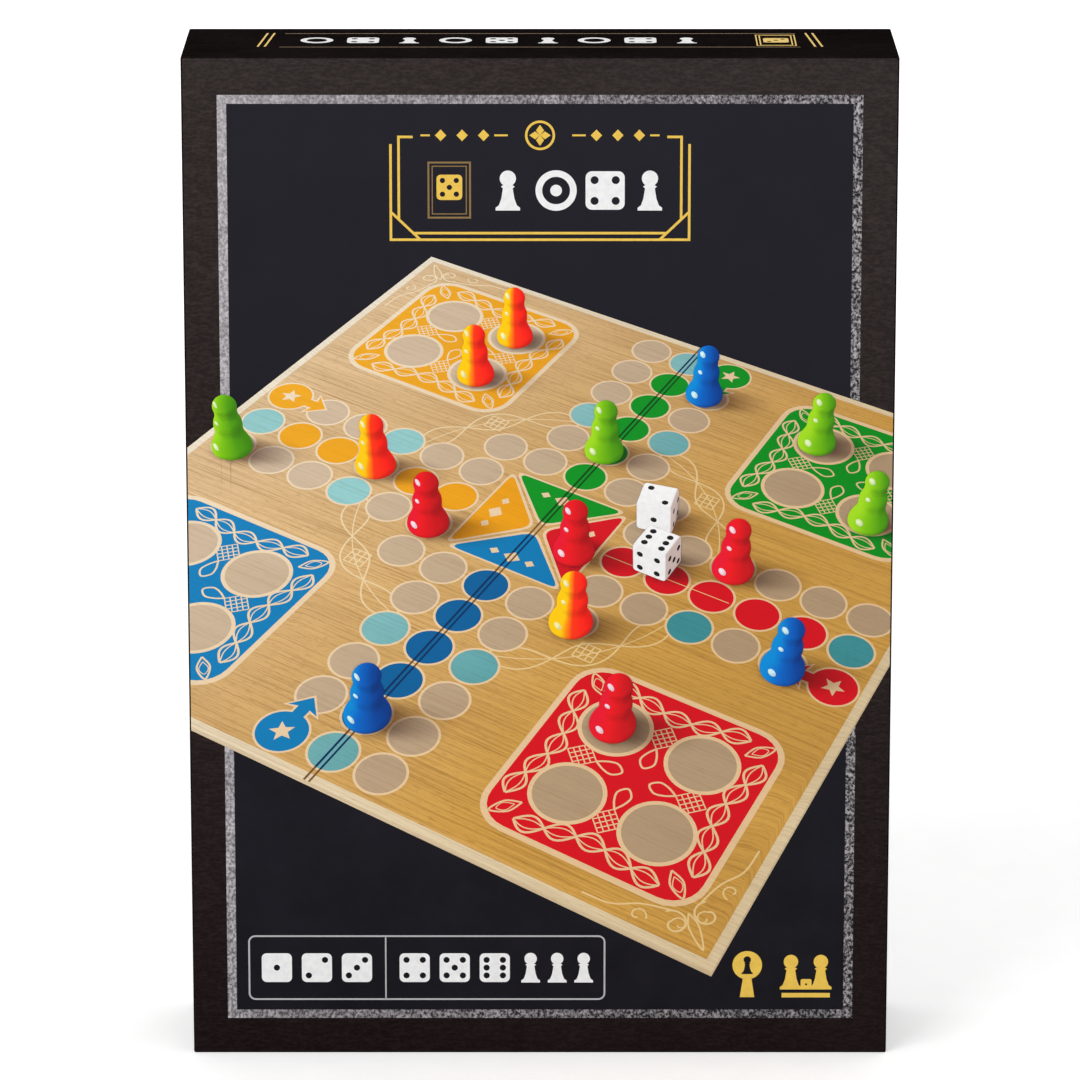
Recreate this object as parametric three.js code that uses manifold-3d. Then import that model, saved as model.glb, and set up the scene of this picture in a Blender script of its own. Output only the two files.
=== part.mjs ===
// A ludo game in its box: a lift-off lid over a base, standing on the lid's lower skirt.
// Inside, a folded board and its rules lie at the right on a card platform, and a formed
// tray at the left holds sixteen pawns and two dice.
// Millimetres. X runs across the cover, Y from the cover to the back, Z up.
// The origin is the middle of the face that the box stands on.

import * as THREE from 'three';
import Module from 'manifold-3d';
import { mergeVertices } from 'three/addons/utils/BufferGeometryUtils.js';
import { RoundedBoxGeometry } from 'three/addons/geometries/RoundedBoxGeometry.js';

// Closed box, outside
const boxWidth = 267;
const boxDepth = 64;
const boxHeight = 389;

// Grey board and the paper that wraps it
const greyboard = 1.8;
const wrapPaper = 0.3;
const wrapTurnIn = 15;
const wrapFoldShare = 1.6;
const wrapFoldSegments = 2;

// Fits between lid, base and contents
const lidRimSetback = 1.5;
const lidClearance = 0.5;
const rimClearance = 0.3;
const boardToLid = 0.5;
const seatGap = 0.3;

// Folding board: its width is what the tray leaves, its height what the finger room leaves
const boardFingerRoom = 51.8;
const trayToBoard = 1.2;
const boardCore = 3;
const boardPaper = 0.3;
const foldFaceGap = 0.3;
const foldCoreInset = 1.2;
const foldFaceInset = 0.6;
const foldToWall = 0.9;
const hingeStripWidth = 0.9;

// Rules leaflet
const leafletSideRoom = 8.25;
const leafletHeight = 210;
const leafletThickness = 1.2;

// Card platform under the board
const platformCard = 1;

// Formed tray with its wells
const trayWidth = 91;
const traySheet = 1;
const trayBelowLid = 1;
const wellCount = 5;
const wellWidth = 78;
const wellHeight = 54;
const wellDepth = 20.5;

// Pawns: radius and height shares of the outline, from the foot's centre to the crown
const pawnDiameter = 18;
const pawnHeight = 31;
const pawnSpacing = 0.6;
const pawnsInWell = 4;
const pawnSegments = 12;
const pawnFootShares = [
  [0, 0],
  [0.84, 0],
  [0.97, 0.06],
  [1, 0.16],
  [0.95, 0.3],
  [0.8, 0.41],
  [0.68, 0.45],
  [0.71, 0.54],
  [0.62, 0.63],
  [0.5, 0.665],
];
const pawnHeadShare = 0.6;
const pawnHeadSteps = 5;

// Dice
const dieSize = 16;
const dieEdgeRadius = 1.8;
const dieEdgeSegments = 2;
const dieSpacing = 3;
const pipDiameter = 3;
const pipDepth = 0.5;
const pipPitch = 4;
const pipSegments = 8;
const pipLayouts = {
  1: [[0, 0]],
  2: [[-1, -1], [1, 1]],
  3: [[-1, -1], [0, 0], [1, 1]],
  4: [[-1, -1], [-1, 1], [1, -1], [1, 1]],
  5: [[-1, -1], [-1, 1], [0, 0], [1, -1], [1, 1]],
  6: [[-1, -1], [-1, 0], [-1, 1], [1, -1], [1, 0], [1, 1]],
};

// How far a cutting shape runs past the surface that it opens
const cutOverrun = 5;

const wasm = await Module();
wasm.setup();

const group = new THREE.Group();

const colours = {
  cover: 0x1b1a1f,
  innerPaper: 0x17161a,
  greyboard: 0x8f8b84,
  card: 0xb59a72,
  tray: 0x1d1d20,
  boardPrint: 0xd1ba82,
  boardPaper: 0x19181b,
  hinge: 0x5d4326,
  leaflet: 0xf0ede4,
  red: 0xd5121c,
  yellow: 0xf08a12,
  green: 0x78c000,
  blue: 0x0068c0,
  die: 0xf2f0ec,
};

function material(colour, roughness) {
  return new THREE.MeshStandardMaterial({ color: colour, roughness, metalness: 0 });
}

function solidOf(geometry) {
  const bare = geometry.clone();
  bare.deleteAttribute('normal');
  bare.deleteAttribute('uv');
  const merged = mergeVertices(bare);
  return new wasm.Manifold(new wasm.Mesh({
    numProp: 3,
    vertProperties: new Float32Array(merged.attributes.position.array),
    triVerts: new Uint32Array(merged.index.array),
  }));
}

function geometryOf(solid) {
  const mesh = solid.getMesh();
  const geometry = new THREE.BufferGeometry();
  geometry.setAttribute('position', new THREE.BufferAttribute(mesh.vertProperties, 3));
  geometry.setIndex(new THREE.BufferAttribute(mesh.triVerts, 1));
  geometry.computeVertexNormals();
  return geometry;
}

function addPiece(name, geometry, finish) {
  const mesh = new THREE.Mesh(geometry, finish);
  mesh.name = name;
  group.add(mesh);
  return mesh;
}

// A range [low, high] made smaller by an inset at both ends
function inset(range, amount) {
  return [range[0] + amount, range[1] - amount];
}

function middle(range) {
  return (range[0] + range[1]) / 2;
}

// A block between two values on each axis, in either order
function blockGeometry(x, y, z) {
  const box = new THREE.BoxGeometry(
    Math.abs(x[1] - x[0]), Math.abs(y[1] - y[0]), Math.abs(z[1] - z[0]));
  box.translate(middle(x), middle(y), middle(z));
  return box;
}

function block(x, y, z) {
  return solidOf(blockGeometry(x, y, z));
}

// Where the pieces stand, from the outside of the box inwards
const boxX = [-boxWidth / 2, boxWidth / 2];
const boxZ = [0, boxHeight];
const coverY = -boxDepth / 2;
const backY = boxDepth / 2;
const wallThickness = wrapPaper + greyboard;
const mouthThickness = wallThickness + wrapPaper;
const lidRimY = backY - lidRimSetback;
const lidPanelY = coverY + wallThickness;
const baseInset = mouthThickness + lidClearance;
const baseX = inset(boxX, baseInset);
const baseZ = inset(boxZ, baseInset);
const baseRimY = lidPanelY + rimClearance;
const baseFloorY = backY - wallThickness;
const contentsX = inset(baseX, mouthThickness + seatGap);
const contentsZ = inset(baseZ, mouthThickness + seatGap);
const contentsBackY = baseFloorY - seatGap;
const trayX = [contentsX[0], contentsX[0] + trayWidth];

// A carton with a closed panel at closedY and an open rim at rimY, and the paper round it:
// the paper covers the outside, goes over the rim and is glued down a little way inside.
function wrappedCarton(name, x, z, closedY, rimY, paperColour) {
  const inward = Math.sign(rimY - closedY);
  const beyondRimY = rimY + inward * cutOverrun;
  const panelY = closedY + inward * wallThickness;
  const turnInY = rimY - inward * wrapTurnIn;

  const hollow = block(inset(x, wallThickness), [panelY, beyondRimY], inset(z, wallThickness));
  const carton = block(
    inset(x, wrapPaper),
    [closedY + inward * wrapPaper, rimY - inward * wrapPaper],
    inset(z, wrapPaper),
  ).subtract(hollow);

  const outside = new RoundedBoxGeometry(
    x[1] - x[0], Math.abs(beyondRimY - closedY), z[1] - z[0],
    wrapFoldSegments, wrapPaper * wrapFoldShare);
  outside.translate(middle(x), middle([closedY, beyondRimY]), middle(z));
  const pastRim = block(
    inset(x, -cutOverrun), [rimY, beyondRimY + inward * cutOverrun], inset(z, -cutOverrun));
  const innerHollow = block(
    inset(x, wallThickness), [panelY, turnInY], inset(z, wallThickness));
  const mouth = block(
    inset(x, mouthThickness), [turnInY - inward * wrapPaper, beyondRimY],
    inset(z, mouthThickness));
  const wrap = solidOf(outside)
    .subtract(pastRim)
    .subtract(carton)
    .subtract(innerHollow)
    .subtract(mouth);

  addPiece(name + '_carton', geometryOf(carton), material(colours.greyboard, 0.9));
  addPiece(name + '_wrap', geometryOf(wrap), material(paperColour, 0.45));
}

wrappedCarton('lid', boxX, boxZ, coverY, lidRimY, colours.cover);
wrappedCarton('base', baseX, baseZ, backY, baseRimY, colours.innerPaper);

// Folded board: two halves face to face, hinged along the fold beside the right wall
const halfThickness = boardCore + boardPaper + boardPaper;
const boardFrontY = lidPanelY + boardToLid;
const foldY = boardFrontY + halfThickness + foldFaceGap / 2;
const boardBackY = foldY + foldFaceGap / 2 + halfThickness;
const foldX = baseX[1] - mouthThickness - foldToWall;
const boardEdgeX = trayX[1] + trayToBoard;
const boardZ = [contentsZ[0], contentsZ[1] - boardFingerRoom];

// One half of the board; towards is +1 for the half behind the fold, -1 for the one before it
function boardHalf(name, towards) {
  const faceY = foldY + towards * foldFaceGap / 2;
  const coreY = faceY + towards * boardPaper;
  const backingY = coreY + towards * boardCore;
  const outerY = backingY + towards * boardPaper;
  const faceX = [boardEdgeX, foldX - foldFaceInset];
  const coreX = [boardEdgeX, foldX - foldCoreInset];
  addPiece(name + '_face', blockGeometry(faceX, [faceY, coreY], boardZ),
    material(colours.boardPrint, 0.5));
  addPiece(name + '_core', blockGeometry(coreX, [coreY, backingY], boardZ),
    material(colours.greyboard, 0.9));
  addPiece(name + '_backing', blockGeometry(coreX, [backingY, outerY], boardZ),
    material(colours.boardPaper, 0.6));
}

boardHalf('board_back', 1);
boardHalf('board_front', -1);

const stripX = [foldX - foldFaceInset, foldX - foldFaceInset + hingeStripWidth];
const stripY = [foldY + foldFaceGap / 2, foldY + foldFaceGap / 2 + boardPaper];
addPiece('board_hinge_strip', blockGeometry(stripX, stripY, boardZ),
  material(colours.hinge, 0.7));

// Tray at the left, from its outer sheet to the wells
const trayY = [lidPanelY + trayBelowLid, contentsBackY];
const trayZ = contentsZ;
const wellX = [middle(trayX) - wellWidth / 2, middle(trayX) + wellWidth / 2];
const wellFloorY = trayY[0] + wellDepth;
const trayRib = (trayZ[1] - trayZ[0] - wellCount * wellHeight) / (wellCount + 1);

function wellZ(index) {
  const low = trayZ[0] + trayRib + index * (wellHeight + trayRib);
  return [low, low + wellHeight];
}

function pieceTray() {
  let tray = block(trayX, trayY, trayZ).subtract(block(
    inset(trayX, traySheet),
    [trayY[0] + traySheet, trayY[1] + cutOverrun],
    inset(trayZ, traySheet)));
  for (let index = 0; index < wellCount; index += 1) {
    tray = tray.add(block(
      inset(wellX, -traySheet),
      [trayY[0], wellFloorY + traySheet],
      inset(wellZ(index), -traySheet)));
  }
  for (let index = 0; index < wellCount; index += 1) {
    tray = tray.subtract(block(wellX, [trayY[0] - cutOverrun, wellFloorY], wellZ(index)));
  }
  return geometryOf(tray);
}

addPiece('piece_tray', pieceTray(), material(colours.tray, 0.35));

// Platform: a card channel whose deck carries the leaflet and the board
const leafletY = [boardBackY + seatGap, boardBackY + seatGap + leafletThickness];
const platformX = [trayX[1] + seatGap, contentsX[1]];
const platformY = [leafletY[1] + seatGap, contentsBackY];

function insertPlatform() {
  const channel = block(platformX, platformY, contentsZ).subtract(block(
    inset(platformX, platformCard),
    [platformY[0] + platformCard, platformY[1] + cutOverrun],
    inset(contentsZ, -cutOverrun)));
  return geometryOf(channel);
}

addPiece('insert_platform', insertPlatform(), material(colours.card, 0.85));

const leafletX = inset(platformX, leafletSideRoom);
addPiece('rules_leaflet',
  blockGeometry(leafletX, leafletY, [contentsZ[0], contentsZ[0] + leafletHeight]),
  material(colours.leaflet, 0.6));

// Pawn: three rounded tiers, the topmost a ball
function pawnGeometry() {
  const radius = pawnDiameter / 2;
  const headRadius = radius * pawnHeadShare;
  const headZ = pawnHeight - headRadius;
  const outline = pawnFootShares.map(
    ([across, up]) => new THREE.Vector2(across * radius, up * pawnHeight));
  const neck = outline[outline.length - 1];
  const start = Math.asin((neck.y - headZ) / headRadius);
  for (let step = 1; step <= pawnHeadSteps; step += 1) {
    const angle = start + (Math.PI / 2 - start) * step / pawnHeadSteps;
    const across = step < pawnHeadSteps ? headRadius * Math.cos(angle) : 0;
    outline.push(new THREE.Vector2(across, headZ + headRadius * Math.sin(angle)));
  }
  const pawn = new THREE.LatheGeometry(outline, pawnSegments);
  pawn.rotateX(Math.PI / 2);
  return geometryOf(solidOf(pawn));
}

// Die with its pips sunk in; opposite faces add up to seven
function dieGeometry() {
  let die = solidOf(new RoundedBoxGeometry(
    dieSize, dieSize, dieSize, dieEdgeSegments, dieEdgeRadius));
  const faceTurns = {
    1: [0, 0],
    6: [Math.PI, 0],
    2: [Math.PI / 2, 0],
    5: [-Math.PI / 2, 0],
    3: [0, Math.PI / 2],
    4: [0, -Math.PI / 2],
  };
  for (const [count, turn] of Object.entries(faceTurns)) {
    for (const [across, up] of pipLayouts[count]) {
      const pip = new THREE.CylinderGeometry(
        pipDiameter / 2, pipDiameter / 2, pipDepth + cutOverrun, pipSegments);
      pip.rotateX(Math.PI / 2);
      pip.translate(
        across * pipPitch, up * pipPitch, (dieSize + cutOverrun - pipDepth) / 2);
      pip.rotateX(turn[0]);
      pip.rotateY(turn[1]);
      die = die.subtract(solidOf(pip));
    }
  }
  return geometryOf(die);
}

// The wells from the bottom up: one colour of pawns each, and the dice in the middle
const wellContents = ['blue', 'red', 'dice', 'green', 'yellow'];
const pawnShape = pawnGeometry();
const dieShape = dieGeometry();

function fillWithPawns(colour, index) {
  const pitch = pawnDiameter + pawnSpacing;
  for (let pawn = 0; pawn < pawnsInWell; pawn += 1) {
    const mesh = addPiece(`pawn_${colour}_${pawn + 1}`, pawnShape,
      material(colours[colour], 0.25));
    mesh.position.set(
      middle(wellX) + (pawn - (pawnsInWell - 1) / 2) * pitch,
      wellFloorY - seatGap - pawnDiameter / 2,
      wellZ(index)[0] + seatGap);
  }
}

function fillWithDice(index) {
  const pitch = dieSize + dieSpacing;
  const quarterTurns = [[1, 0], [0, 3]];
  quarterTurns.forEach((turns, die) => {
    const mesh = addPiece(`die_${die + 1}`, dieShape, material(colours.die, 0.3));
    mesh.rotation.set(turns[0] * Math.PI / 2, turns[1] * Math.PI / 2, 0);
    mesh.position.set(
      middle(wellX) + (die - (quarterTurns.length - 1) / 2) * pitch,
      wellFloorY - seatGap - dieSize / 2,
      wellZ(index)[0] + seatGap + dieSize / 2);
  });
}

wellContents.forEach((kind, index) => {
  if (kind === 'dice') {
    fillWithDice(index);
  } else {
    fillWithPawns(kind, index);
  }
});

export default group;
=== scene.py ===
import math

import bmesh
import bpy
import numpy as np
from mathutils import Matrix, Vector
from mathutils.geometry import delaunay_2d_cdt


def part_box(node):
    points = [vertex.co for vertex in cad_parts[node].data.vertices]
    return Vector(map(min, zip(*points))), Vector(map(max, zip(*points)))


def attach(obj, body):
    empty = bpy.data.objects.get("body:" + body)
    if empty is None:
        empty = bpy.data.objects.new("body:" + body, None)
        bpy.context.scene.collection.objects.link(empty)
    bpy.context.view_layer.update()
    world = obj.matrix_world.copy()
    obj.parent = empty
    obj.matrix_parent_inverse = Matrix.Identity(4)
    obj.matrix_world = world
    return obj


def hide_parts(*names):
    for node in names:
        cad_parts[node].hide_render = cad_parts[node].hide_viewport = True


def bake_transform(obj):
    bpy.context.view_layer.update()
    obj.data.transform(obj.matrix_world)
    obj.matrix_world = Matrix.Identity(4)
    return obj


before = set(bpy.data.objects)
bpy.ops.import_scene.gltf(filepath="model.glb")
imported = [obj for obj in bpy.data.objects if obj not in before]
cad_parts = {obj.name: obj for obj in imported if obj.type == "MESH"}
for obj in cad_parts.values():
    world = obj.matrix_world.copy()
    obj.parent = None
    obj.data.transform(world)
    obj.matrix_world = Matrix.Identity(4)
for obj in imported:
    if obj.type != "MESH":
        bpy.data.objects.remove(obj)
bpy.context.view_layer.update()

# Sizes are in millimetres and in the shared frame; meshes are made in metres
MM = 0.001
X, Y, Z = Vector((1, 0, 0)), Vector((0, 1, 0)), Vector((0, 0, 1))


def box_mm(node):
    low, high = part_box(node)
    return Vector(low) / MM, Vector(high) / MM


LID_LOW, LID_HIGH = box_mm("lid_wrap")
BACK_FACE_LOW, BACK_FACE_HIGH = box_mm("board_back_face")
FRONT_FACE_HIGH = box_mm("board_front_face")[1]

# The photograph's camera
IMAGE_PX = 1080
FOCAL_PX = 6404.5
SENSOR = 36.0
CAMERA_PITCH = math.radians(14.174)
CAMERA_DISTANCE = 2454.78
CAMERA_TARGET_Z = 195.97
CLIP_END = 50

# Area lamps: place, height of the target, size and power
LAMPS = {
    "key": ((-1.3, -1.7, 1.5), 0.2, (1.4, 1.4), 24),
    "fill": ((1.5, -1.9, 0.8), 0.2, (1.6, 1.2), 7),
    "top": ((0.1, 0.6, 2.2), 0.3, (1.8, 1.8), 9),
}
WORLD_LIGHT = 0.55
FLOOR_SIZE = 6.0

# Wrapping paper of the lid and the base
FOLD_RADIUS = 0.62
FOLD_STEPS = 5
CORNER_RADIUS = 0.06
WALL = 2.4
TURN_IN = 15.0
PAPER = 0.3
RIM_RADIUS = 0.55
PLATE = 0.05
SUNK = 0.01

# The folding board and its print
BOARD = 326.0
MIDDLE = BOARD / 2
RIM_STRIP = 3.6
PITCH = 21.0
SPOT = 9.2
FOLD_X = 127.3
FACE_CORNER = 0.4
CLOTH_REACH = 0.3
CLOTH_HALF = 0.08
YARD_CENTRE = 102.6
YARD_HALF = 42.8
YARD_FRAME = 2.5
YARD_SPOT = 18.4
SCROLL_SCALE = 0.93

# Pawns, with outlines as shares of the radius and the height
PAWN_RADIUS = 9.0
PAWN_HEIGHT = 31.0
PAWN_PROFILE = ((0, 0), (0.84, 0), (0.965, 0.05), (1, 0.13), (0.97, 0.23), (0.87, 0.325),
                (0.745, 0.4), (0.67, 0.455), (0.66, 0.5), (0.675, 0.545), (0.62, 0.6),
                (0.53, 0.645), (0.49, 0.69))
PAWN_HEAD = 0.6
PICTURED_PROFILE = ((0, 0), (0.86, 0), (0.97, 0.03), (1, 0.075), (0.97, 0.14), (0.87, 0.215),
                    (0.755, 0.29), (0.69, 0.355), (0.675, 0.42), (0.69, 0.485), (0.67, 0.56),
                    (0.6, 0.625), (0.555, 0.665), (0.545, 0.7))
PICTURED_HEAD = 0.585
# Highlights on a pictured pawn: radius and height on it, degrees to the lit side, half sizes
PAWN_GLINTS = ((4.3, 28.8, 42, 1.7, 1.8), (5.9, 19.4, 33, 1.2, 1.2), (8.3, 6.7, 36, 1.9, 2.0))

# Dice
DIE = 16.0
DIE_EDGE = 1.8
DIE_SIDES = {1: Z, 6: -Z, 2: Y, 5: -Y, 3: X, 4: -X}
PIP_RADIUS = 1.5
PIP_DEPTH = 0.5
PIP_PITCH = 4.0
PIPS = {1: ((0, 0),), 2: ((-1, -1), (1, 1)), 4: ((-1, -1), (-1, 1), (1, -1), (1, 1))}
PIPS[3] = PIPS[2] + PIPS[1]
PIPS[5] = PIPS[4] + PIPS[1]
PIPS[6] = PIPS[4] + ((-1, 0), (1, 0))

# Where the cover shows the board's four corners, in cover mm (across, up)
PICTURED_CORNERS = ((-40.6, 313.3), (177.3, 237.9), (66.0, 32.6), (-217.5, 172.7))
PICTURE_FOCAL = 520.0
PICTURE_CENTRE = (0.0, 195.0)
PICTURE_LEAN = -0.077
PICTURED_EDGE = 3.2
PICTURED_CREASES = ((-1.7, -0.75), (0.5, 1.35))
# How far a pictured thing stands off the cover: at least, per layer, per mm of distance
PICTURE_LIFT = 0.07
LAYER_LIFT = 0.1
DISTANCE_LIFT = 0.004
MARK_LIFT = 0.03
# A mark is drawn where its direction's part away from the camera is below this
MARK_FACING = -0.12
# Pawns in the picture: where they stand on the board
PICTURED_PAWNS = {
    "pawn_blue": ((164, 290), (182, 38), (290, 188)),
    "pawn_red": ((246, 248), (122, 186), (184.5, 169.5), (248, 145)),
    "pawn_yellow": ((205, 208), (79, 44), (80, 82), (80, 165)),
    "pawn_green": ((18, 187), (244, 44), (286, 85), (162, 102)),
}
# Dice in the picture: place, turn in degrees, the counts on the sides that face the camera
PICTURED_DICE = (((205.3, 131.6), -14, (2, 1, 4)), ((218.5, 157.8), 0, (6, 4, 5)))
# Pictured light and shadows: each thing's shadow has a radius and a reach
RIGHT_DIM = 0.16
SHADOW_WAY = Vector((0.93, -0.37))
SHADOW_DEPTH = 0.88
PAWN_SHADOW = (PAWN_RADIUS, 27.0)
DIE_SHADOW = (DIE * 0.58, 22.0)
SHADOW_EDGE = 8
SHADOW_NARROWS = 0.3
SHADOW_FADE = 1.3
CONTACT = 2.2
CONTACT_DEPTH = 0.75
CONTACT_LIT_SIDE = 0.5
# Where the picture needs close points to hold its shadows
SHADOW_PITCH = 1.6
SHADOW_ROWS = range(-11, 12)
SHADOW_COLUMNS = range(-9, 23)
OPEN_PITCH = 5.0

# The formed tray
WELLS = 5
TRAY_SHEET = 0.8
TRAY_CORNER = 3.0
WELL_WIDTH = 78.0
WELL_HEIGHT = 54.0
WELL_DEPTH = 20.5
WELL_DRAFT = 1.1
WELL_CORNER = 5.0
DECK_FILLET = 1.6
FLOOR_FILLET = 1.4

# The rules leaflet: its leaves' thickness, gaps and steps at the edges, and its print
LEAVES = 3
LEAF = 0.13
LEAF_GAP = 0.05
LEAF_INSET = 0.02
LEAF_EDGE_STEP = 0.5
LEAF_TOP_STEP = 0.25
LEAF_PLATE = 0.045
LEAF_PLATE_BACK = 0.025


# Node materials

# The laminate's gloss over the picture, and over the dark ground and border
COVER_GLOSS = 0.12
DARK_GLOSS = 0.04
PRINT_ROUGHNESS = 0.42


def srgb(red, green, blue):
    """A colour written as on screen, 0 to 255, as the linear value that a shader takes."""
    def linear(value):
        value /= 255
        return value / 12.92 if value <= 0.04045 else ((value + 0.055) / 1.055) ** 2.4
    return (linear(red), linear(green), linear(blue), 1.0)


def tinted(colour, factor):
    return tuple(min(channel * factor, 1.0) for channel in colour[:3]) + (1.0,)


class Nodes:
    """Adds nodes to a shader tree. An input given a socket is linked, else it is set."""

    def __init__(self, tree):
        self.nodes = tree.nodes
        self.links = tree.links

    def connect(self, node, key, value):
        if isinstance(value, bpy.types.NodeSocket):
            self.links.new(value, node.inputs[key])
        else:
            node.inputs[key].default_value = value

    def put(self, kind, inputs, output=0, **settings):
        node = self.nodes.new("ShaderNode" + kind)
        for key, value in settings.items():
            setattr(node, key, value)
        for key, value in inputs.items():
            self.connect(node, key, value)
        return node.outputs[output]

    def math(self, operation, first, second):
        return self.put("Math", {0: first, 1: second}, operation=operation)

    def times(self, first, second):
        return self.math("MULTIPLY", first, second)

    def band(self, value, low, high, to_low=0.0, to_high=1.0):
        return self.put("MapRange", {0: value, 1: low, 2: high, 3: to_low, 4: to_high})

    def seen_background(self):
        """1 for rays that see the background straight, in a mirror or through glass."""
        path = self.put("LightPath", {}).node.outputs
        seen = self.math("MAXIMUM", path["Is Camera Ray"], path["Is Glossy Ray"])
        return self.math("MAXIMUM", seen, path["Is Transmission Ray"])


class Shading(Nodes):
    """A material under construction."""

    def __init__(self, name):
        self.material = bpy.data.materials.new(name)
        self.material.use_nodes = True
        super().__init__(self.material.node_tree)
        self.nodes.clear()
        self.surface = self.nodes.new("ShaderNodeBsdfPrincipled")
        output = self.nodes.new("ShaderNodeOutputMaterial")
        self.links.new(self.surface.outputs[0], output.inputs[0])
        self.place = self.put("TexCoord", {}, "Object")

    def mix(self, factor, first, second, blend="MIX"):
        inputs = {0: factor, 6: first, 7: second}
        return self.put("Mix", inputs, 2, data_type="RGBA", blend_type=blend)

    def over(self, body, other, value, low, high, most=1.0):
        """Lays other over body, up to the share most, as value goes from low to high."""
        return self.mix(self.band(value, low, high, 0.0, most), body, other)

    def dot(self, vector, direction):
        inputs = {0: vector, 1: direction}
        return self.put("VectorMath", inputs, "Value", operation="DOT_PRODUCT")

    def texture(self, kind, scale, stretch, vector, **inputs):
        """A texture over the piece's own place, or over another vector, stretched first."""
        vector = vector or self.place
        if stretch:
            vector = self.put("VectorMath", {0: vector, 1: stretch}, operation="MULTIPLY")
        return self.put(kind, {"Vector": vector, "Scale": scale, **inputs})

    def noise(self, scale, detail, rough, stretch=None, vector=None):
        return self.texture("TexNoise", scale, stretch, vector, Detail=detail, Roughness=rough)

    def cells(self, scale, stretch=None):
        return self.texture("TexVoronoi", scale, stretch, None)

    def clouds(self, body, other, noise, low, high, most=1.0):
        """Lays other over body in clouds. noise holds their scale, detail and roughness."""
        return self.over(body, other, self.noise(*noise), low, high, most)

    def ramp(self, value, stops):
        socket = self.put("ValToRGB", {0: value})
        elements = socket.node.color_ramp.elements
        stops = sorted(stops)
        for element, (place, colour) in zip(elements, (stops[0], stops[-1])):
            element.position = place
            element.color = colour
        for place, colour in stops[1:-1]:
            elements.new(place).color = colour
        return socket

    def attribute(self, name, output="Vector"):
        return self.put("Attribute", {}, output, attribute_name=name)

    def parts(self, vector):
        return self.put("SeparateXYZ", {0: vector}).node.outputs

    def finish(self, body, rough, relief=None, **others):
        """relief is the bump's height, strength and distance."""
        inputs = {"Base_Color": body, "Roughness": rough, **others}
        if relief:
            keys = ("Height", "Strength", "Distance")
            inputs["Normal"] = self.put("Bump", dict(zip(keys, relief)))
        for key, value in inputs.items():
            self.connect(self.surface, key.replace("_", " "), value)
        return self.material

    def printed(self, body, gloss=COVER_GLOSS, rough=PRINT_ROUGHNESS):
        """The finish of laminated print, with the paper's faint fibre."""
        fibre = self.noise(1500.0, 3.0, 0.6)
        return self.finish(body, rough, (fibre, 0.1, 0.0001), Specular_IOR_Level=gloss)


def board_print(name, near, far, grain, full=1.0):
    """Ink or bare wood of the board: streaks, pores and drifts of tone, under its shadows.

    It goes from its near to its far colour until the haze is full.
    """
    shade = Shading(name)
    field = shade.attribute("board")
    streaks = shade.noise(1.0, 4.0, 0.62, (0.018, 1.0, 0.0), field)
    pores = shade.noise(2.6, 2.0, 0.5, (0.09, 1.0, 0.0), field)
    drift = shade.noise(1.0, 2.0, 0.5, (0.005, 0.035, 0.0), field)
    body = shade.over(near, far, shade.attribute("haze", "Fac"), 0.0, full)
    dark = shade.mix(1.0, body, (0.5, 0.4, 0.3, 1.0), "MULTIPLY")
    pale = shade.mix(1.0, body, (1.22, 1.24, 1.3, 1.0), "MULTIPLY")
    body = shade.over(body, pale, drift, 0.38, 0.66, 0.8 * grain)
    body = shade.over(body, dark, streaks, 0.46, 0.78, grain)
    body = shade.over(body, dark, pores, 0.56, 0.76, 0.8 * grain)
    lit = shade.parts(field)[2]
    shadow = shade.mix(lit, (0.16, 0.1, 0.1, 1.0), (1.0, 1.0, 1.0, 1.0))
    return shade.printed(shade.mix(1.0, body, shadow, "MULTIPLY"))


def leatherette(name, colour, gloss=0.3):
    """Dark embossed paper: fine grain, creases that run across, and paler tips where the grain
    stands highest.
    """
    shade = Shading(name)
    creases = shade.noise(330.0, 5.0, 0.65, (0.35, 1.0, 1.0))
    height = shade.math("ADD", shade.times(shade.cells(700.0), 0.5), creases)
    body = shade.clouds(tinted(colour, 0.7), tinted(colour, 1.25), (16.0, 4.0, 0.6), 0.35, 0.65)
    body = shade.over(body, tinted(colour, 2.0), height, 0.72, 1.0, 0.5)
    return shade.finish(body, shade.band(creases, 0.3, 0.7, 0.55, 0.38),
                        (height, 0.45, 0.00025), Specular_IOR_Level=gloss)


def cover_border(name):
    """The lid's own border: dark brown grain, with painted light paler at the top and painted
    shade reddish at the foot.
    """
    shade = Shading(name)
    grain = shade.cells(1100.0, (0.5, 1.0, 1.0))
    creases = shade.noise(680.0, 6.0, 0.7, (0.25, 1.0, 1.2))
    height = shade.math("ADD", shade.times(grain, 0.45), creases)
    # Painted light and shade: paler towards the top, darker and reddish at the foot
    painted_top_light = shade.band(shade.parts(shade.place)[2], 0.0, 0.37)
    body = shade.mix(painted_top_light, srgb(18, 7, 8), srgb(43, 38, 37))
    body = shade.clouds(body, srgb(30, 19, 19), (12.0, 4.0, 0.6), 0.38, 0.68, 0.4)
    # Painted highlights on the raised grain and creases, stronger towards the top
    highlight = shade.mix(painted_top_light, srgb(42, 32, 32), srgb(70, 61, 58))
    body = shade.over(body, highlight, height, 0.6, 0.98, 0.5)
    return shade.finish(body, shade.band(creases, 0.3, 0.7, 0.55, 0.4),
                        (height, 0.4, 0.00012), Specular_IOR_Level=DARK_GLOSS)


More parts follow.
